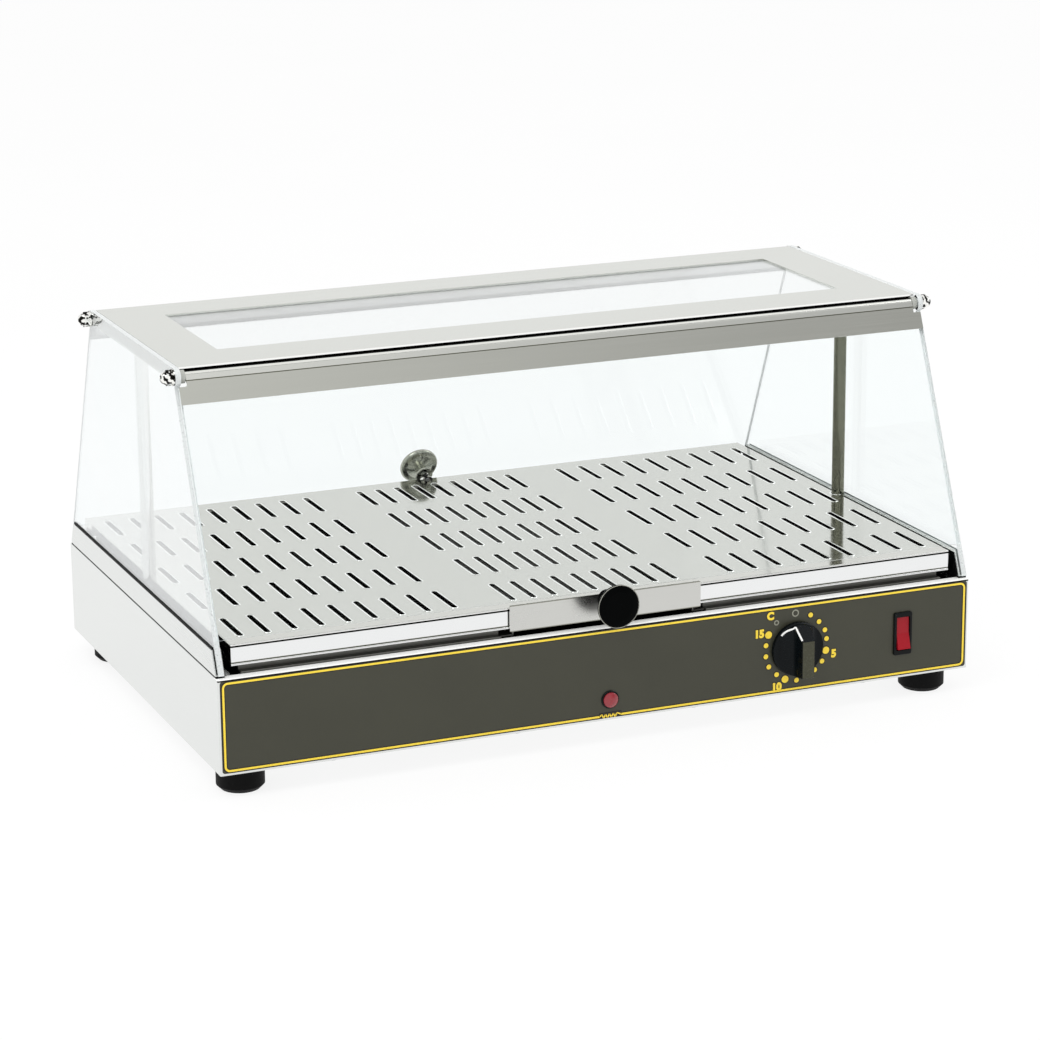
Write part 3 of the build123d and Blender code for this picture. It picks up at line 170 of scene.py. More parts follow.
# Heat symbol in millimetres on the fascia: the zigzag, then the black patch under it
ZIGZAG_SWING = 1.35
ZIGZAG_TURNS = 9
ZIGZAG_HALF = 0.5
ZIGZAG_INSET = 0.8
ZIGZAG_LAP = 0.4
PATCH_LAP = 0.6
PATCH_Z = (1.6, 6.0)

# Painted highlight on the dial as a white line: heights up the grip's left edge, then an arc on the skirt in
# steps of degrees
LINE_X = -0.0046
LINE_HEIGHTS = (0.0113, 0.0130, 0.0148, 0.0166, 0.0185)
LINE_R = 0.0192
LINE_START = 106.0
LINE_STEP = 5.6
LINE_STEPS = 7
LINE_HALF = 0.0008
LINE_LIFT = 0.0005
RAY_LEAD = 0.01

# Painted highlight round the front of the drawer's knob, and the sides of every bead
KNOB_EDGE = 0.0014
KNOB_BEAD = 0.0003
KNOB_POINTS = 48
BEAD_SIDES = 8

# Slack in reading the tray: in the height of its top face, and between corners that are one
LEVEL = 0.00002
WELD = 0.00001

# Lips of the tray's slots: a slot's reach, the fewest corners of its outline, and the lip's steps out and up
SLOT_REACH = 0.03
SLOT_CORNERS = 8
LIP = ((0.0, -0.00005), (0.0, 0.00012), (0.0004, 0.00035), (0.0010, 0.00030), (0.0014, -0.00005))

# Floor: half its size, and the share of it that shows its own colour
FLOOR_HALF = 14.0
FLOOR_GLOW = 0.85

# Surroundings: two ways, and the grey levels at places from square to each way, 0, to straight along it, 1
DIM_WAY = (0.62, -0.68, 0.40)
DIM_STOPS = ((0.80, 0.95), (0.93, 0.76), (0.99, 0.45))
RING_WAY = (0.0, 0.0, 1.0)
RING_STOPS = ((0.69, 1.0), (0.72, 0.25), (0.74, 0.25), (0.77, 1.0))

# Where both lamps point
LAMP_TARGET = (0.0, 0.0, 0.1)


def camera():
    """Camera at the photograph's view."""
    data = bpy.data.cameras.new("camera")
    data.sensor_width = CAMERA_FILM
    data.lens = CAMERA_LENS
    data.clip_start = CAMERA_NEAR
    data.clip_end = CAMERA_FAR
    obj = bpy.data.objects.new("camera", data)
    turn = Matrix.Rotation(math.radians(CAMERA_YAW), 4, "Z")
    turn = turn @ Matrix.Rotation(math.radians(CAMERA_TILT), 4, "X")
    turn = turn @ Matrix.Rotation(math.radians(CAMERA_ROLL), 4, "Y")
    level = Matrix.Rotation(math.pi / 2, 4, "X")
    obj.matrix_world = Matrix.Translation(CAMERA_PLACE) @ turn @ level
    bpy.context.scene.collection.objects.link(obj)
    bpy.context.scene.camera = obj


# Node helpers

class Nodes:
    """A node tree with short calls for its nodes."""

    def __init__(self, tree):
        self.tree = tree
        self.tree.nodes.clear()

    def node(self, kind, **values):
        made = self.tree.nodes.new("ShaderNode" + kind)
        for key, value in values.items():
            setattr(made, key, value)
        return made

    def feed(self, socket, value):
        """Links the value where it is a socket, and otherwise sets it."""
        if isinstance(value, bpy.types.NodeSocket):
            self.tree.links.new(value, socket)
        else:
            socket.default_value = value

    def put(self, node, **values):
        """Feeds sockets by name, with spaces written as underscores."""
        for key, value in values.items():
            self.feed(node.inputs[key.replace("_", " ")], value)
        return node

    def fill(self, node, numbers, values):
        """Feeds sockets by number."""
        for number, value in zip(numbers, values):
            self.feed(node.inputs[number], value)
        return node

    def surface(self, kind, **values):
        """Shader of a node whose sockets are fed by name."""
        return self.put(self.node(kind), **values).outputs[0]

    def mix(self, factor, first, second):
        """Shader between two shaders."""
        return self.fill(self.node("MixShader"), (0, 1, 2), (factor, first, second)).outputs[0]

    def between(self, factor, first, second):
        """Number between two numbers."""
        made = self.node("Mix", data_type="FLOAT")
        return self.fill(made, (0, 2, 3), (factor, first, second)).outputs[0]

    def blend(self, factor, first, second, kind="MIX"):
        """Colour between two colours, or with the kind MULTIPLY their product."""
        made = self.node("Mix", data_type="RGBA", blend_type=kind)
        return self.fill(made, (0, 6, 7), (factor, first, second)).outputs[2]

    def dot(self, vector, axis):
        """How far a vector reaches along an axis."""
        made = self.node("VectorMath", operation="DOT_PRODUCT")
        return self.fill(made, (0, 1), (vector, axis)).outputs["Value"]


class Shader(Nodes):
    """A material and its node tree."""

    def __init__(self, name):
        self.material = bpy.data.materials.new(name)
        self.material.use_nodes = True
        super().__init__(self.material.node_tree)
        self.coords = None

    def principled(self, **values):
        return self.surface("BsdfPrincipled", **values)

    def finish(self, surface):
        """Sends a shader to the material's output."""
        self.put(self.node("OutputMaterial"), Surface=surface)
        return self.material

    def place(self, scale=(1, 1, 1), turn=(0, 0, 0)):
        """Place in the object's own frame, stretched and turned."""
        if self.coords is None:
            self.coords = self.node("TexCoord")
        mapping = self.node("Mapping")
        self.put(mapping, Vector=self.coords.outputs["Object"], Scale=scale, Rotation=turn)
        return mapping.outputs["Vector"]

    def noise(self, scale, detail=3.0, roughness=0.5, stretch=(1, 1, 1), turn=(0, 0, 0)):
        made = self.node("TexNoise")
        self.put(made, Vector=self.place(stretch, turn), Scale=scale, Detail=detail, Roughness=roughness)
        return made.outputs["Fac"]

    def spread(self, value, low, high, start=0.3, end=0.7):
        """Moves values between start and end to low and high."""
        made = self.node("MapRange")
        self.put(made, Value=value, From_Min=start, From_Max=end, To_Min=low, To_Max=high)
        return made.outputs["Result"]

    def math(self, operation, *values):
        """Result of an operation on one or two numbers."""
        return self.fill(self.node("Math", operation=operation), (0, 1), values).outputs["Value"]

    def bump(self, height, strength, distance=0.0001):
        made = self.put(self.node("Bump"), Height=height, Strength=strength, Distance=distance)
        return made.outputs["Normal"]

    def toward(self, axis):
        """How squarely the face looks along an axis of the object, -1 to 1, however the object is turned."""
        own = self.node("VectorTransform", vector_type="NORMAL", convert_from="WORLD", convert_to="OBJECT")
        self.feed(own.inputs[0], self.node("NewGeometry").outputs["True Normal"])
        return self.dot(own.outputs[0], axis)

    def facing(self, axis):
        """How squarely the face looks along an axis of the object or against it, 0 to 1."""
        return self.math("ABSOLUTE", self.toward(axis))


# Painted zones

def inside(s, low, high):
    """1 inside a box of the object's own frame, 0 outside it."""
    parts = s.node("SeparateXYZ")
    s.feed(parts.inputs[0], s.place())
    mask = None
    for axis, start, end in zip("XYZ", low, high):
        for test, limit in (("GREATER_THAN", start), ("LESS_THAN", end)):
            part = s.math(test, parts.outputs[axis], limit)
            mask = part if mask is None else s.math("MULTIPLY", mask, part)
    return mask


def zone(colour, x=(-FAR, FAR), y=(-FAR, FAR), z=(-FAR, FAR)):
    """Box of the object's own frame painted in one colour."""
    return (x[0], y[0], z[0]), (x[1], y[1], z[1]), colour


def zoned(s, base, zones):
    for low, high, colour in zones:
        base = s.blend(inside(s, low, high), base, colour)
    return base


def shade(colour, factor):
    """Darker colour with the same cover."""
    return tuple(c * factor for c in colour[:3]) + (1.0,)


# Kinds of material

def sheet_grain(s, stretch):
    """Noise drawn out into the fine lines of brushed sheet."""
    return s.noise(1.0, 4.0, 0.6, stretch)


def steel(name, colour, rough, grain=0.05, bump=0.15, tint=0.03, zones=(), matt=None, shade_box=None):
    """Stainless sheet with a fine grain along the length of each face, and near-black painted shade in one
    box.
    """
    s = Shader(name)
    side = s.spread(s.facing((1, 0, 0)), 0.0, 1.0, 0.5, 0.8)
    fine = s.between(side, sheet_grain(s, GRAIN_X), sheet_grain(s, GRAIN_Y))
    cloud = s.noise(14.0, 3.0)
    roughness = s.math("ADD", s.spread(fine, rough - grain, rough + grain), s.spread(cloud, -0.02, 0.02))
    base = zoned(s, s.blend(s.spread(fine, 0.0, 1.0), shade(colour, 1 - tint), colour), zones)
    metal = 1.0
    if matt:
        mask = inside(s, *matt)
        metal = s.math("SUBTRACT", 1.0, s.math("MULTIPLY", mask, MATT_METAL_LOSS))
        roughness = s.math("ADD", roughness, s.math("MULTIPLY", mask, MATT_ROUGHER))
    sheet = s.principled(Base_Color=base, Metallic=metal, Roughness=roughness,
                         Normal=s.bump(fine, bump, FINE))
    if shade_box is None:
        return s.finish(sheet)
    # Near-black paint in the box is painted shade, where the sheet lies in shade under the tray
    painted_shade = s.principled(Base_Color=s.blend(cloud, rgb(5, 5, 5), rgb(10, 10, 9)), Roughness=0.6,
                          Specular_IOR_Level=0.0)
    return s.finish(s.mix(inside(s, *shade_box), sheet, painted_shade))


def polished(name, colour, rough, tint=0.02, zones=()):
    """Bright polished steel with faint smears and fine scratches."""
    s = Shader(name)
    smear = s.noise(9.0, 4.0, 0.6)
    scratch = s.noise(1.0, 5.0, 0.7, (40, 700, 300), (0, 0, 0.12))
    rubbed = s.spread(smear, rough * 0.7, rough * 1.3)
    roughness = s.math("ADD", rubbed, s.spread(scratch, 0.0, 0.03, 0.5, 0.8))
    base = zoned(s, s.blend(smear, shade(colour, 1 - tint), colour), zones)
    return s.finish(s.principled(Base_Color=base, Metallic=1.0, Roughness=roughness,
                                 Normal=s.bump(scratch, 0.04, FINE)))


def rear_band(name, outer, inner):
    """Rolled steel of the rear flap; its inner side, seen through the window, is satin and painted paler as
    light on it.
    """
    s = Shader(name)
    grain = sheet_grain(s, GRAIN_X)
    inward = s.spread(s.toward((0, -1, 0)), 0.0, 1.0, 0.1, 0.3)
    metal = s.math("SUBTRACT", 1.0, s.math("MULTIPLY", inward, SATIN_METAL_LOSS))
    return s.finish(s.principled(Base_Color=s.blend(inward, outer, inner), Metallic=metal,
                                 Roughness=s.spread(grain, 0.13, 0.22), Normal=s.bump(grain, 0.08, FINE)))


def chrome(name, dark, light):
    """Bright plating with painted reflections: small bright and dark patches in its colour."""
    s = Shader(name)
    patches = s.spread(s.noise(330.0, 1.0), 0.0, 1.0, 0.46, 0.54)
    skin = s.noise(900.0, 2.0)
    return s.finish(s.principled(Base_Color=s.blend(patches, dark, light), Metallic=1.0,
                                 Roughness=s.spread(skin, 0.05, 0.12), Normal=s.bump(skin, 0.1, FINE)))


def glass(name, normal, sheen=None, ior=1.5):
    """Clear glass with milky ground edges; lamps shine through it, and its near face may mirror a sheen."""
    s = Shader(name)
    smear = s.noise(7.0, 4.0, 0.6)
    face = s.principled(Base_Color=CLEAR, Roughness=s.spread(smear, 0.0, 0.012, 0.45, 0.75), IOR=ior,
                        Transmission_Weight=1.0)
    if sheen:
        mirror = s.surface("BsdfGlossy", Color=s.blend(smear, rgb(246, 249, 250), CLEAR), Roughness=0.03)
        near = s.math("SUBTRACT", 1.0, s.node("NewGeometry").outputs["Backfacing"])
        face = s.mix(s.math("MULTIPLY", near, sheen), face, mirror)
    edge_grain = s.noise(900.0, 2.0)
    edge = s.principled(Base_Color=s.blend(edge_grain, GROUND_EDGE, CLEAR),
                        Roughness=s.spread(edge_grain, 0.25, 0.4), IOR=1.5, Transmission_Weight=0.2)
    is_edge = s.spread(s.facing(normal), 1.0, 0.0, 0.4, 0.6)
    through = s.surface("BsdfTransparent", Color=CLEAR)
    shadow = s.node("LightPath").outputs["Is Shadow Ray"]
    return s.finish(s.mix(shadow, s.mix(is_edge, face, edge), through))


def plain(name, colour, rough, dark=0.85, scale=60.0, bump=0.1, distance=0.00005, zones=(), **values):
    """Paint, plastic or rubber: mottled colour, uneven gloss and a fine skin."""
    s = Shader(name)
    mottle = s.noise(scale * 0.3, 3.0)
    skin = s.noise(scale * 12, 3.0, 0.6)
    base = zoned(s, s.blend(s.spread(mottle, 0.0, 1.0), shade(colour, dark), colour), zones)
    return s.finish(s.principled(Base_Color=base, Roughness=s.spread(skin, rough * 0.85, rough * 1.15),
                                 Normal=s.bump(skin, bump, distance), **values))


def ink(name, colour, rough, dark):
    """Printed ink with a very fine skin; the dial's painted highlight line uses it too."""
    return plain(name, colour, rough, dark, 120.0, 0.05)


def dial_plastic():
    """Black moulded plastic whose front, at the grip's tip, is painted brown grey as a reflection of the
    fascia.
    """
    s = Shader("dial_plastic")
    tip_low = (DIAL_LOW.x, DIAL_LOW.y - REACH, DIAL_LOW.z)
    tip_high = (DIAL_HIGH.x, DIAL_LOW.y + GRIP_FRONT, DIAL_HIGH.z)
    outward = s.spread(s.facing((0, 1, 0)), 0.0, 1.0, 0.80, 0.90)
    front = s.math("MULTIPLY", inside(s, tip_low, tip_high), outward)
    skin = s.noise(700.0, 3.0, 0.6)
    black = s.blend(s.noise(40.0), rgb(6, 10, 12), rgb(9, 15, 18))
    grey = s.blend(skin, rgb(66, 66, 54), rgb(78, 78, 65))
    return s.finish(s.principled(Base_Color=s.blend(front, black, grey), Roughness=s.spread(skin, 0.22, 0.3),
                                 Specular_IOR_Level=0.12, Normal=s.bump(skin, 0.08, 0.00004)))


# Sheet parts whose folds, edges and faces carry painted highlights, painted shade and painted reflections

def shell_steel():
    """Cabinet: white matt rim before the tray as a painted highlight, a dark painted shade line under it,
    and near-black painted shade under the tray.
    """
    top, front = SHELL_HIGH.z, SHELL_LOW.y
    rim = zone(HIGHLIGHT_WHITE, y=(front - REACH, TRAY_LOW.y), z=(top - RIM_DEPTH, top + REACH))
    line_z = (PANEL_HIGH.z - RIM_LAP, top - RIM_DEPTH - RIM_GAP)
    line = zone(SHADE_DARK, y=(front - REACH, front + REACH), z=line_z)
    under_tray = ((TRAY_LOW.x, TRAY_LOW.y, PANEL_HIGH.z), tuple(TRAY_HIGH))
    return steel("shell_steel", rgb(227, 229, 227), 0.16, 0.02, 0.03, 0.02, (rim, line), rim[:2], under_tray)


def frame_steel():
    """Top frame: a painted highlight on the nose at the front and painted shade in the gap behind it."""
    front, top = FRAME_LOW.y, FRAME_HIGH.z
    gap = front + NOSE_START
    nose = (zone(HIGHLIGHT_WHITE, y=(front - REACH, front + NOSE_SKIN), z=(0.0, top + REACH)),
            zone(SHADE_DARK, y=(gap, gap + NOSE_DEPTH), z=(0.0, top - NOSE_LIP)))
    return steel("frame_steel", rgb(217, 219, 213), 0.18, 0.03, 0.08, zones=nose)


def band_steel():
    """Front flap: roll painted pale as a highlight over the band, a painted shade line under it, and a crest
    painted dark as the gap's shadow.
    """
    roll = BAND_TOP - ROLL_HEIGHT
    rolled = (zone(rgb(236, 237, 231), z=(roll, FAR)), zone(rgb(118, 118, 104), z=(roll - ROLL_LINE, roll)),
              zone(SHADE_DARK, z=(BAND_TOP - ROLL_CREST, FAR)))
    return steel("band_steel", rgb(213, 214, 206), 0.16, 0.03, 0.08, zones=rolled)


def tray_steel():
    """Tray: front skirt painted paler as light, white fold as a painted highlight over a dark painted
    reflection line, and a grey painted shade line above the bead.
    """
    low, high = TRAY_LOW.z, TRAY_HIGH.z
    face = (TRAY_LOW.y - REACH, TRAY_LOW.y + FOLD_DEPTH)
    skirt = (TRAY_LOW.y - REACH, TRAY_LOW.y + SKIRT_DEPTH)
    fold = (zone(rgb(236, 237, 237), y=skirt, z=(0.0, high - FOLD_TOP)),
            zone(HIGHLIGHT_WHITE, y=face, z=(high - FOLD_TOP, FAR)),
            zone(rgb(20, 20, 16), y=face, z=(high - FOLD_LINE, high - FOLD_TOP)),
            zone(rgb(92, 92, 80), y=face, z=(low + BEAD_START, low + BEAD_END)))
    return polished("tray_steel", rgb(215, 214, 208), 0.09, zones=fold)


def drawer_steel():
    """Drawer's front: satin, with thin grey painted shade at its edges above and below."""
    grey = rgb(150, 150, 140)
    upper = zone(grey, z=(DRAWER_HIGH.z - DRAWER_EDGE, FAR))
    lower = zone(grey, z=(0.0, DRAWER_LOW.z + DRAWER_EDGE))
    return polished("drawer_steel", rgb(206, 206, 202), 0.27, zones=(upper, lower))


def right_post_steel():
    """Right post: dark as a painted reflection of dark surroundings, with a bright painted highlight on its
    outer edge.
    """
    edge = zone(rgb(240, 240, 236), x=(POST_SIDE - POST_EDGE, FAR))
    return polished("right_post_steel", rgb(112, 113, 99), 0.06, zones=(edge,))


MATERIALS = {}


def make_metals():
    m = MATERIALS
    m["shell"] = shell_steel()
    m["cabinet"] = steel("cabinet_steel", rgb(227, 229, 227), 0.26, 0.03, 0.05)
    m["frame"] = frame_steel()
    m["band"] = band_steel()
    m["rear_band"] = rear_band("rear_band_steel", rgb(205, 206, 199), rgb(253, 254, 255))
    # Rails, runners and pan under the tray: steel darkened to grey as painted shade
    m["hidden"] = steel("inner_steel", rgb(120, 120, 116), 0.42)
    m["tray"] = tray_steel()
    # Lips round the slots: pressed steel with a near-white painted highlight
    m["lip"] = polished("slot_lip_steel", rgb(253, 253, 250), 0.2)
    m["drawer"] = drawer_steel()
    m["post"] = polished("post_steel", rgb(230, 231, 228), 0.06)
    m["dark_post"] = right_post_steel()
    m["chrome"] = chrome("nut_chrome", rgb(20, 20, 18), rgb(248, 248, 244))
    m["zinc"] = polished("zinc_steel", rgb(198, 200, 204), 0.25)
    m["element"] = steel("element_tube", rgb(70, 66, 60), 0.5)
    m["copper"] = polished("copper_bulb", rgb(196, 128, 92), 0.28)
    m["smoke"] = polished("rear_knob_metal", rgb(170, 171, 160), 0.12)


def make_glass():
    m = MATERIALS
    slope, rise = math.cos(LEAN), math.sin(LEAN)
    m["left_glass"] = glass("left_glass", (1, 0, 0), sheen=0.42)
    m["right_glass"] = glass("right_glass", (1, 0, 0), ior=1.2)
    m["front_glass"] = glass("front_glass", (0, -slope, rise), ior=1.13)
    m["rear_glass"] = glass("rear_glass", (0, slope, rise), ior=1.28)
    m["top_glass"] = glass("top_glass", (0, 0, 1))


def make_paints_and_plastics():
    m = MATERIALS
    m["silicone"] = plain("white_silicone", rgb(252, 253, 255), 0.4, 0.97)
    m["fascia"] = plain("fascia_paint", rgb(62, 62, 50), 0.34, 0.93, 80.0, 0.12, Specular_IOR_Level=0.35)
    m["yellow"] = ink("yellow_print", rgb(255, 222, 62), 0.45, 0.96)
    m["black_print"] = ink("black_print", rgb(7, 7, 8), 0.5, 0.8)
    m["grey_print"] = ink("grey_print", rgb(150, 150, 135), 0.45, 0.92)
    # White paint for the dial's painted highlight line
    m["white_highlight_paint"] = ink("white_highlight_paint", rgb(250, 250, 248), 0.4, 0.97)
    m["black_gloss"] = plain("black_knob", rgb(2, 3, 3), 0.12, 0.8, 70.0, 0.03, Specular_IOR_Level=0.03)
    # Light grey painted highlight for the front edge of the drawer's knob
    m["knob_highlight"] = plain("knob_highlight_paint", rgb(168, 168, 158), 0.3, 0.5, 500.0, 0.03)
    m["dial"] = dial_plastic()
    m["black"] = plain("black_plastic", rgb(9, 13, 14), 0.3, 0.85, 90.0, 0.1, Specular_IOR_Level=0.15)
    m["rubber"] = plain("black_rubber", rgb(5, 5, 5), 0.6, 0.8, 90.0, 0.4, Specular_IOR_Level=0.12)
    pale_half = zone(rgb(236, 238, 236), x=(0.0, FAR))
    m["gasket"] = plain("gasket_rubber", rgb(5, 5, 5), 0.6, 0.8, 90.0, 0.4, Specular_IOR_Level=0.12,
                        zones=(pale_half,))
    m["red"] = plain("red_rocker", rgb(160, 16, 32), 0.32, 0.88, 50.0, 0.06, Specular_IOR_Level=0.25)
    m["lamp"] = plain("lamp_lens", rgb(146, 32, 44), 0.18, 0.75, 60.0, 0.15, Coat_Weight=0.4,
                      Coat_Roughness=0.06)
    m["ceramic"] = plain("cream_ceramic", rgb(226, 218, 198), 0.5, 0.92)
    m["wool"] = plain("mineral_wool", rgb(190, 178, 130), 0.95, 0.7, 200.0, 1.0, 0.001)
    m["nylon"] = plain("grey_nylon", rgb(176, 178, 172), 0.4, 0.94)


# Nodes that each material dresses
DRESS = {
    "shell": ("cabinet_shell",),
    "cabinet": ("base_plate", "glass_channel_left", "glass_channel_right"),
    "frame": ("top_frame",),
    "rear_band": ("rear_flap_profile",),
    "silicone": ("window_beads",),
    "band": ("front_flap_profile",),
    "hidden": ("tray_rails", "drawer_runner_left", "drawer_runner_right", "drawer_pan"),
    "tray": ("tray",),
    "drawer": ("drawer_front",),
    "post": ("post_left",),
    "dark_post": ("post_right",),
    "chrome": ("rod_washers", "rod_nuts", "rear_knob_nut"),
    "zinc": ("foot_screws", "foot_nuts", "base_screws", "post_nuts", "hinge_rod_front", "hinge_rod_rear",
             "rear_knob_stud", "drawer_knob_screw", "element_nuts", "element_clips", "thermostat_screws",
             "bulb_clips", "thermostat_shaft"),
    "left_glass": ("side_glass_left",),
    "right_glass": ("side_glass_right",),
    "front_glass": ("front_flap_glass",),
    "rear_glass": ("rear_flap_glass",),
    "top_glass": ("window_glass",),
    "fascia": ("front_panel",),
    "black_gloss": ("drawer_knob",),
    "dial": ("dial_knob",),
    "smoke": ("rear_knob",),
    "black": ("switch_body", "lamp_body", "cable_gland", "gland_nut"),
    "rubber": ("feet", "channel_seals", "edge_trims"),
    "gasket": ("glazing_gaskets",),
    "red": ("switch_rocker",),
    "lamp": ("lamp_lens",),
    "ceramic": ("thermostat_body", "terminal_block"),
    "wool": ("insulation_pad",),
    "element": ("heating_element_left", "heating_element_right"),
    "copper": ("thermostat_bulb",),
    "nylon": ("hinge_spacers",),
}


def dress_nodes():
    for key, names in DRESS.items():
        for name in names:
            slots = NODES[name].data.materials
            if len(slots):
                slots[0] = MATERIALS[key]
            else:
                slots.append(MATERIALS[key])


# New pieces

def add_piece(name, mesh, material, body):
    """Object for a finished mesh, riding on a body."""
    mesh.materials.append(MATERIALS[material])
    obj = bpy.data.objects.new(name, mesh)
    bpy.context.scene.collection.objects.link(obj)
    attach(obj, body)


def add_mesh(name, bm, material, body):
    """Piece from a bmesh, with its normals turned outwards."""
    mesh = bpy.data.meshes.new(name)
    bmesh.ops.recalc_face_normals(bm, faces=bm.faces)
    bm.to_mesh(mesh)
    bm.free()
    add_piece(name, mesh, material, body)


def mm(x, z):
    """Fascia place in millimetres, X from the cabinet's left side and Z from its lower edge."""
    return SHELL_LOW.x + x / 1000, SHELL_LOW.z + z / 1000


def join_rims(bm, first, second):
    """Faces between two closed rims with the same number of corners."""
    count = len(first)
    for i in range(count):
        j = (i + 1) % count
        bm.faces.new((first[i], first[j], second[j], second[i]))


def neighbours(points, i, closed):
    """The points before and after one; an open line's ends stand for themselves."""
    if closed:
        return points[i - 1], points[(i + 1) % len(points)]
    return points[max(i - 1, 0)], points[min(i + 1, len(points) - 1)]


def slab(bm, points, back=0.0):
    """Thin plate of ink on the fascia, from its outline in X and Z, lifted off it by back."""
    rear = [bm.verts.new((x, PANEL_Y - back, z)) for x, z in points]
    front = [bm.verts.new((x, PANEL_Y - back - PRINT, z)) for x, z in points]
    bm.faces.new(rear)
    bm.faces.new(front)
    join_rims(bm, rear, front)


def circle_points(x, z, radius, count=DOT_SIDES):
    angles = [2 * math.pi * i / count for i in range(count)]
    return [(x + radius * math.cos(angle), z + radius * math.sin(angle)) for angle in angles]


def ring(bm, x, z, outer, inner):
    """Thin flat ring on the fascia."""
    rims = []
    for radius, lift in ((outer, 0.0), (outer, PRINT), (inner, PRINT), (inner, 0.0)):
        places = circle_points(x, z, radius, RING_SIDES)
        rims.append([bm.verts.new((px, PANEL_Y - lift, pz)) for px, pz in places])
    for first, second in zip(rims, rims[1:] + rims[:1]):
        join_rims(bm, first, second)


def ribbon(name, centre, low, high, back, material):
    """Flat strip along a line on the fascia, from low to high across it, lifted off it by back."""
    bm = bmesh.new()
    rims = []
    for i, (x, z) in enumerate(centre):
        before, after = neighbours(centre, i, False)
        along = Vector((after[0] - before[0], after[1] - before[1])).normalized()
        across = Vector((along.y, -along.x))
        corner = []
        for out, lift in ((high, back), (high, back + PRINT), (low, back + PRINT), (low, back)):
            px, pz = mm(x + out * across.x, z + out * across.y)
            corner.append(bm.verts.new((px, PANEL_Y - lift, pz)))
        rims.append(corner)
    for first, second in zip(rims, rims[1:]):
        join_rims(bm, first, second)
    bm.faces.new(rims[0])
    bm.faces.new(rims[-1])
    add_mesh(name, bm, material, "case")


def border():
    """Yellow line on a black one round the fascia, broken at the heat symbol."""
    size = (SHELL_HIGH - SHELL_LOW) * 1000
    left = BORDER_INSET_X + BORDER_CORNER
    right = size.x - left
    low = BORDER_INSET_Z + BORDER_CORNER
    high = size.z - low
    centre = [(BORDER_GAP[1], BORDER_INSET_Z)]
    for cx, cz, start in ((right, low, -90), (right, high, 0), (left, high, 90), (left, low, 180)):
        for i in range(BORDER_CORNER_STEPS + 1):
            angle = math.radians(start + 90 * i / BORDER_CORNER_STEPS)
            centre.append((cx + BORDER_CORNER * math.cos(angle), cz + BORDER_CORNER * math.sin(angle)))
    centre.append((BORDER_GAP[0], BORDER_INSET_Z))
    ribbon("fascia_edge", centre, BORDER_EDGE_IN, BORDER_EDGE_OUT, 0.0, "black_print")
    ribbon("fascia_border", centre, -BORDER_HALF, BORDER_HALF, PRINT, "yellow")


def scale_marks():
    """Dots, rings and figures round the thermostat's dial."""
    for name, grow, back, material in (("dot_edges", DOT_EDGE, 0.0, "black_print"),
                                       ("scale_dots", 0.0, PRINT, "yellow")):
        bm = bmesh.new()
        for dots, radius in ((BIG_DOTS, BIG_DOT_R), (SMALL_DOTS, SMALL_DOT_R)):
            for x, z in dots:
                slab(bm, circle_points(*mm(x, z), radius + grow), back)
        add_mesh(name, bm, material, "case")
    bm = bmesh.new()
    for x, z, outer, inner in RINGS:
        ring(bm, *mm(x, z), outer, inner)
    add_mesh("scale_rings", bm, "grey_print", "case")
    for name, text, x, z, size in LABELS:
        figures(name + "_edge", text, x, z, size, FIGURE_EDGE, 0.0, "black_print")
        figures(name, text, x, z, size, FIGURE_BOLD, PRINT, "yellow")


def figures(name, text, x, z, size, bold, back, material):
    """Raised figures centred at a place on the fascia, thickened by a share of their size."""
    curve = bpy.data.curves.new(name, "FONT")
    curve.body = text
    curve.size = size
    curve.align_x = "CENTER"
    curve.align_y = "CENTER"
    curve.offset = size * bold
    curve.extrude = PRINT / 2
    curve.resolution_u = 4
    holder = bpy.data.objects.new(name + "_curve", curve)
    bpy.context.scene.collection.objects.link(holder)
    bpy.context.view_layer.update()
    mesh = bpy.data.meshes.new_from_object(holder)
    bpy.data.objects.remove(holder)
    px, pz = mm(x, z)
    middle = Matrix.Translation((px, PANEL_Y - back - PRINT / 2, pz))
    mesh.transform(middle @ Matrix.Rotation(math.pi / 2, 4, "X"))
    mesh.materials.clear()
    mesh.name = name
    add_piece(name, mesh, material, "case")


def heat_symbol():
    """Zigzag between the ends of the border, on a black patch."""
    low_x, high_x = BORDER_GAP
    bm = bmesh.new()
    left, right = low_x - PATCH_LAP, high_x + PATCH_LAP
    low_z, high_z = PATCH_Z
    slab(bm, [mm(left, low_z), mm(right, low_z), mm(right, high_z), mm(left, high_z)])
    add_mesh("heat_patch", bm, "black_print", "case")
    step = (high_x - low_x - 2 * ZIGZAG_INSET) / (ZIGZAG_TURNS + 1)
    points = [(low_x - ZIGZAG_LAP, BORDER_INSET_Z)]
    for i in range(ZIGZAG_TURNS):
        swing = ZIGZAG_SWING if i % 2 == 0 else -ZIGZAG_SWING
        points.append((low_x + ZIGZAG_INSET + step * (i + 0.5), BORDER_INSET_Z + swing))
    points.append((high_x + ZIGZAG_LAP, BORDER_INSET_Z))
    bm = bmesh.new()
    for (x0, z0), (x1, z1) in zip(points, points[1:]):
        along = Vector((x1 - x0, z1 - z0)).normalized()
        across = Vector((-along.y, along.x)) * ZIGZAG_HALF
        stroke = [(x0 + across.x, z0 + across.y), (x0 - across.x, z0 - across.y),
                  (x1 - across.x, z1 - across.y), (x1 + across.x, z1 + across.y)]
        slab(bm, [mm(x, z) for x, z in stroke], PRINT)
    add_mesh("heat_symbol", bm, "yellow", "case")


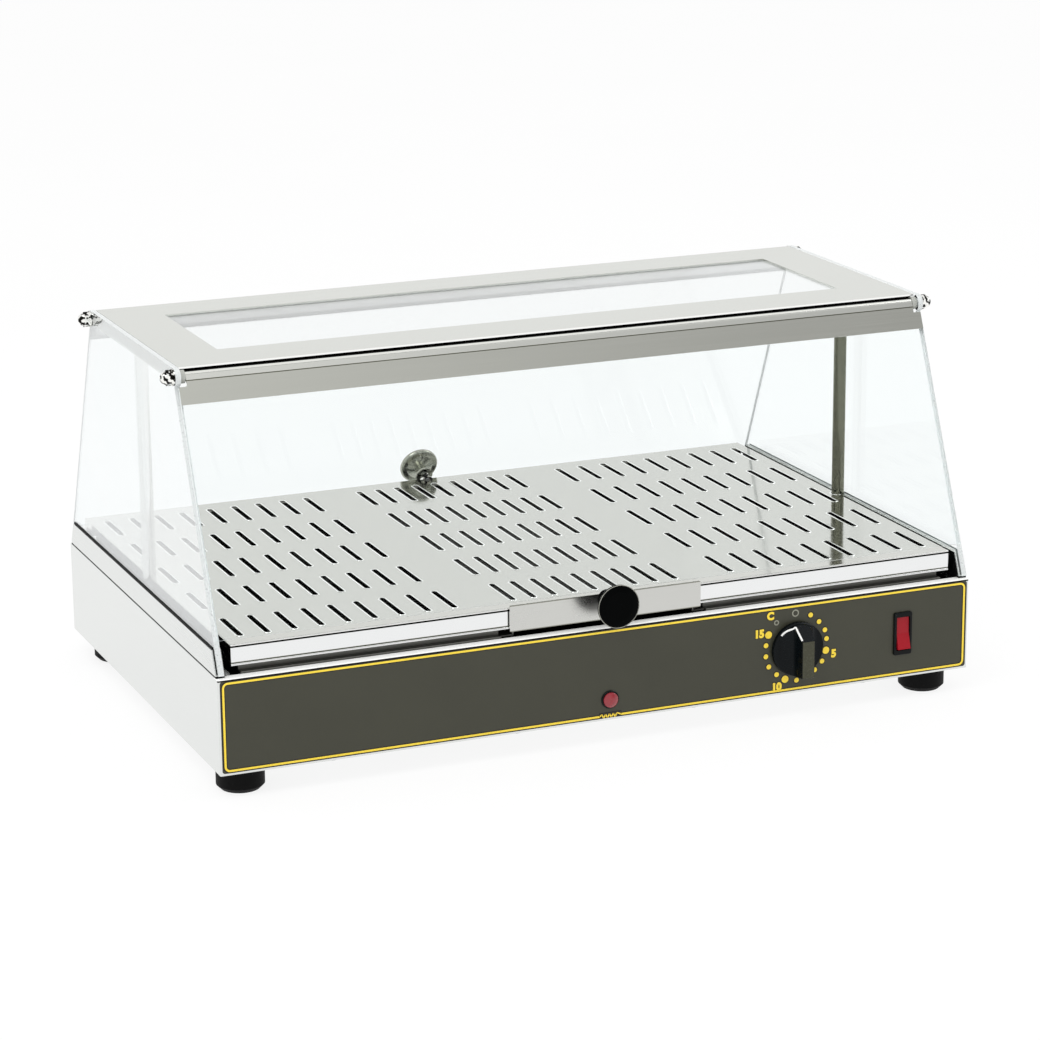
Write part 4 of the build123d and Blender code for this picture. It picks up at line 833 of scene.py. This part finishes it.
def bead(bm, points, half, lift, closed=False):
    """Flat bead along points that lie on a surface seen from the front."""
    rims = []
    for i, point in enumerate(points):
        before, after = neighbours(points, i, closed)
        along = (after - before).normalized()
        across = along.cross(Vector((0.0, -1.0, 0.0))).normalized()
        out = across.cross(along).normalized()
        section = [(half * x, lift * y) for x, y in circle_points(0.0, 0.0, 1.0, BEAD_SIDES)]
        rims.append([bm.verts.new(point + across * aside + out * up) for aside, up in section])
    for first, second in zip(rims, rims[1:] + rims[:1] if closed else rims[1:]):
        join_rims(bm, first, second)
    if not closed:
        bm.faces.new(rims[0])
        bm.faces.new(rims[-1])


def dial_highlight_line():
    """Painted highlight as a white line over the grip's left edge, down its slope and round the skirt, as a
    thin bead.
    """
    places = [Vector((LINE_X, 0.0, height)) for height in LINE_HEIGHTS]
    for i in range(LINE_STEPS):
        angle = math.radians(LINE_START + LINE_STEP * i)
        places.append(Vector((LINE_R * math.cos(angle), 0.0, LINE_R * math.sin(angle))))
    start = Vector((DIAL_X, DIAL_LOW.y - RAY_LEAD, DIAL_Z))
    knob = NODES["dial_knob"]
    points = [knob.ray_cast(start + place, Vector((0.0, 1.0, 0.0)))[1] for place in places]
    bm = bmesh.new()
    bead(bm, points, LINE_HALF, LINE_LIFT)
    add_mesh("dial_highlight_line", bm, "white_highlight_paint", "dial")


def knob_rim():
    """Bright painted highlight round the front of the drawer's knob."""
    middle = (KNOB_LOW + KNOB_HIGH) / 2
    radius = (KNOB_HIGH.x - KNOB_LOW.x) / 2
    points = [Vector((x, KNOB_LOW.y + KNOB_EDGE, z))
              for x, z in circle_points(middle.x, middle.z, radius, KNOB_POINTS)]
    bm = bmesh.new()
    bead(bm, points, KNOB_BEAD, KNOB_BEAD, closed=True)
    add_mesh("knob_rim", bm, "knob_highlight", "drawer")


def top_edges(source):
    """For each corner of the tray's top face, the corners that an edge of that face joins it to."""
    joined = {}
    for edge in source.edges:
        if len(edge.link_faces) != 2 or any(abs(v.co.z - TRAY_HIGH.z) > LEVEL for v in edge.verts):
            continue
        if sorted(face.normal.z > 0.9 for face in edge.link_faces) == [False, True]:
            a, b = edge.verts
            joined.setdefault(a, []).append(b)
            joined.setdefault(b, []).append(a)
    return joined


def top_loops(source):
    """Outlines of the tray's top face and of its openings, each walked from its first corner on."""
    joined = top_edges(source)
    left = dict.fromkeys(joined)
    loops = []
    while left:
        following = [next(iter(left))]
        loop = []
        while following:
            loop.append(following[0])
            del left[following[0]]
            following = [v for v in joined[loop[-1]] if v in left]
        loops.append([Vector((v.co.x, v.co.y)) for v in loop])
    return loops


def slot_lips():
    """Pressed lips whose near-white colour is a painted highlight: a ring on each small outline of the
    tray's top face, also at its side notches.
    """
    source = bmesh.new()
    source.from_mesh(NODES["tray"].data)
    bmesh.ops.remove_doubles(source, verts=source.verts, dist=WELD)
    bm = bmesh.new()
    for points in top_loops(source):
        centre = sum(points, Vector((0.0, 0.0))) / len(points)
        reach = max((point - centre).length for point in points)
        if len(points) >= SLOT_CORNERS and reach < SLOT_REACH:
            lip(bm, points, centre)
    source.free()
    add_mesh("slot_lips", bm, "lip", "case")


def lip(bm, points, centre):
    """Low ring round one slot or notch."""
    rows = []
    for i, point in enumerate(points):
        before, after = neighbours(points, i, True)
        along = after - before
        out = Vector((along.y, -along.x)).normalized()
        if out.dot(point - centre) < 0:
            out.negate()
        rows.append([bm.verts.new((point.x + aside * out.x, point.y + aside * out.y, TRAY_HIGH.z + up))
                     for aside, up in LIP])
    for first, second in zip(rows, rows[1:] + rows[:1]):
        join_rims(bm, first, second)


# Floor, background and light

def stage():
    """Pale floor: mostly its own colour, to the camera, in mirrors and through glass, and a faint shadow."""
    bm = bmesh.new()
    bmesh.ops.create_grid(bm, x_segments=1, y_segments=1, size=FLOOR_HALF)
    mesh = bpy.data.meshes.new("floor")
    bm.to_mesh(mesh)
    bm.free()
    s = Shader("floor")
    tone = s.blend(s.noise(3.0), rgb(254, 254, 254), rgb(255, 255, 255))
    matt = s.surface("BsdfDiffuse", Color=tone)
    glow = s.surface("Emission", Color=tone, Strength=1.0)
    path = s.node("LightPath")
    mirrored = s.math("MAXIMUM", path.outputs["Is Glossy Ray"], path.outputs["Is Transmission Ray"])
    seen = s.math("MAXIMUM", path.outputs["Is Camera Ray"], mirrored)
    mesh.materials.append(s.finish(s.mix(s.math("MULTIPLY", seen, FLOOR_GLOW), matt, glow)))
    floor = bpy.data.objects.new("floor", mesh)
    bpy.context.scene.collection.objects.link(floor)


def sky_ramp(n, direction, way, interpolation, stops):
    """Grey level that depends on how nearly a direction points a given way."""
    ramp = n.node("ValToRGB")
    ramp.color_ramp.interpolation = interpolation
    elements = ramp.color_ramp.elements
    while len(elements) < len(stops):
        elements.new(0.5)
    for element, (position, level) in zip(elements, stops):
        element.position = position
        element.color = (level, level, level, 1.0)
    n.feed(ramp.inputs[0], n.dot(direction, Vector(way).normalized()))
    return ramp.outputs[0]


def world():
    """White surroundings, dimmer at the front right; rounds mirror a dark ring high up in them as lines."""
    made = bpy.data.worlds.new("studio")
    made.use_nodes = True
    n = Nodes(made.node_tree)
    direction = n.node("TexCoord").outputs["Generated"]
    dim = sky_ramp(n, direction, DIM_WAY, "LINEAR", DIM_STOPS)
    dark_ring = sky_ramp(n, direction, RING_WAY, "EASE", RING_STOPS)
    sky = n.surface("Background", Color=n.blend(1.0, dim, dark_ring, "MULTIPLY"))
    white = n.surface("Background", Color=(1, 1, 1, 1))
    seen = n.node("LightPath").outputs["Is Camera Ray"]
    n.put(n.node("OutputWorld"), Surface=n.mix(seen, sky, white))
    bpy.context.scene.world = made


def lamp(name, place, size, power):
    """Soft rectangular lamp turned to the object."""
    data = bpy.data.lights.new(name, "AREA")
    data.shape = "RECTANGLE"
    data.size, data.size_y = size
    data.energy = power
    obj = bpy.data.objects.new(name, data)
    toward = Vector(LAMP_TARGET) - Vector(place)
    obj.matrix_world = Matrix.Translation(place) @ toward.to_track_quat("-Z", "Y").to_matrix().to_4x4()
    bpy.context.scene.collection.objects.link(obj)


camera()
make_metals()
make_glass()
make_paints_and_plastics()
dress_nodes()
border()
scale_marks()
heat_symbol()
dial_highlight_line()
knob_rim()
slot_lips()
stage()
world()
lamp("key_lamp", (-1.2, -0.6, 2.2), (1.6, 1.2), 18.0)
lamp("fill_lamp", (1.8, -0.4, 1.6), (1.2, 1.2), 9.0)

bpy.context.scene.view_settings.view_transform = "Standard"
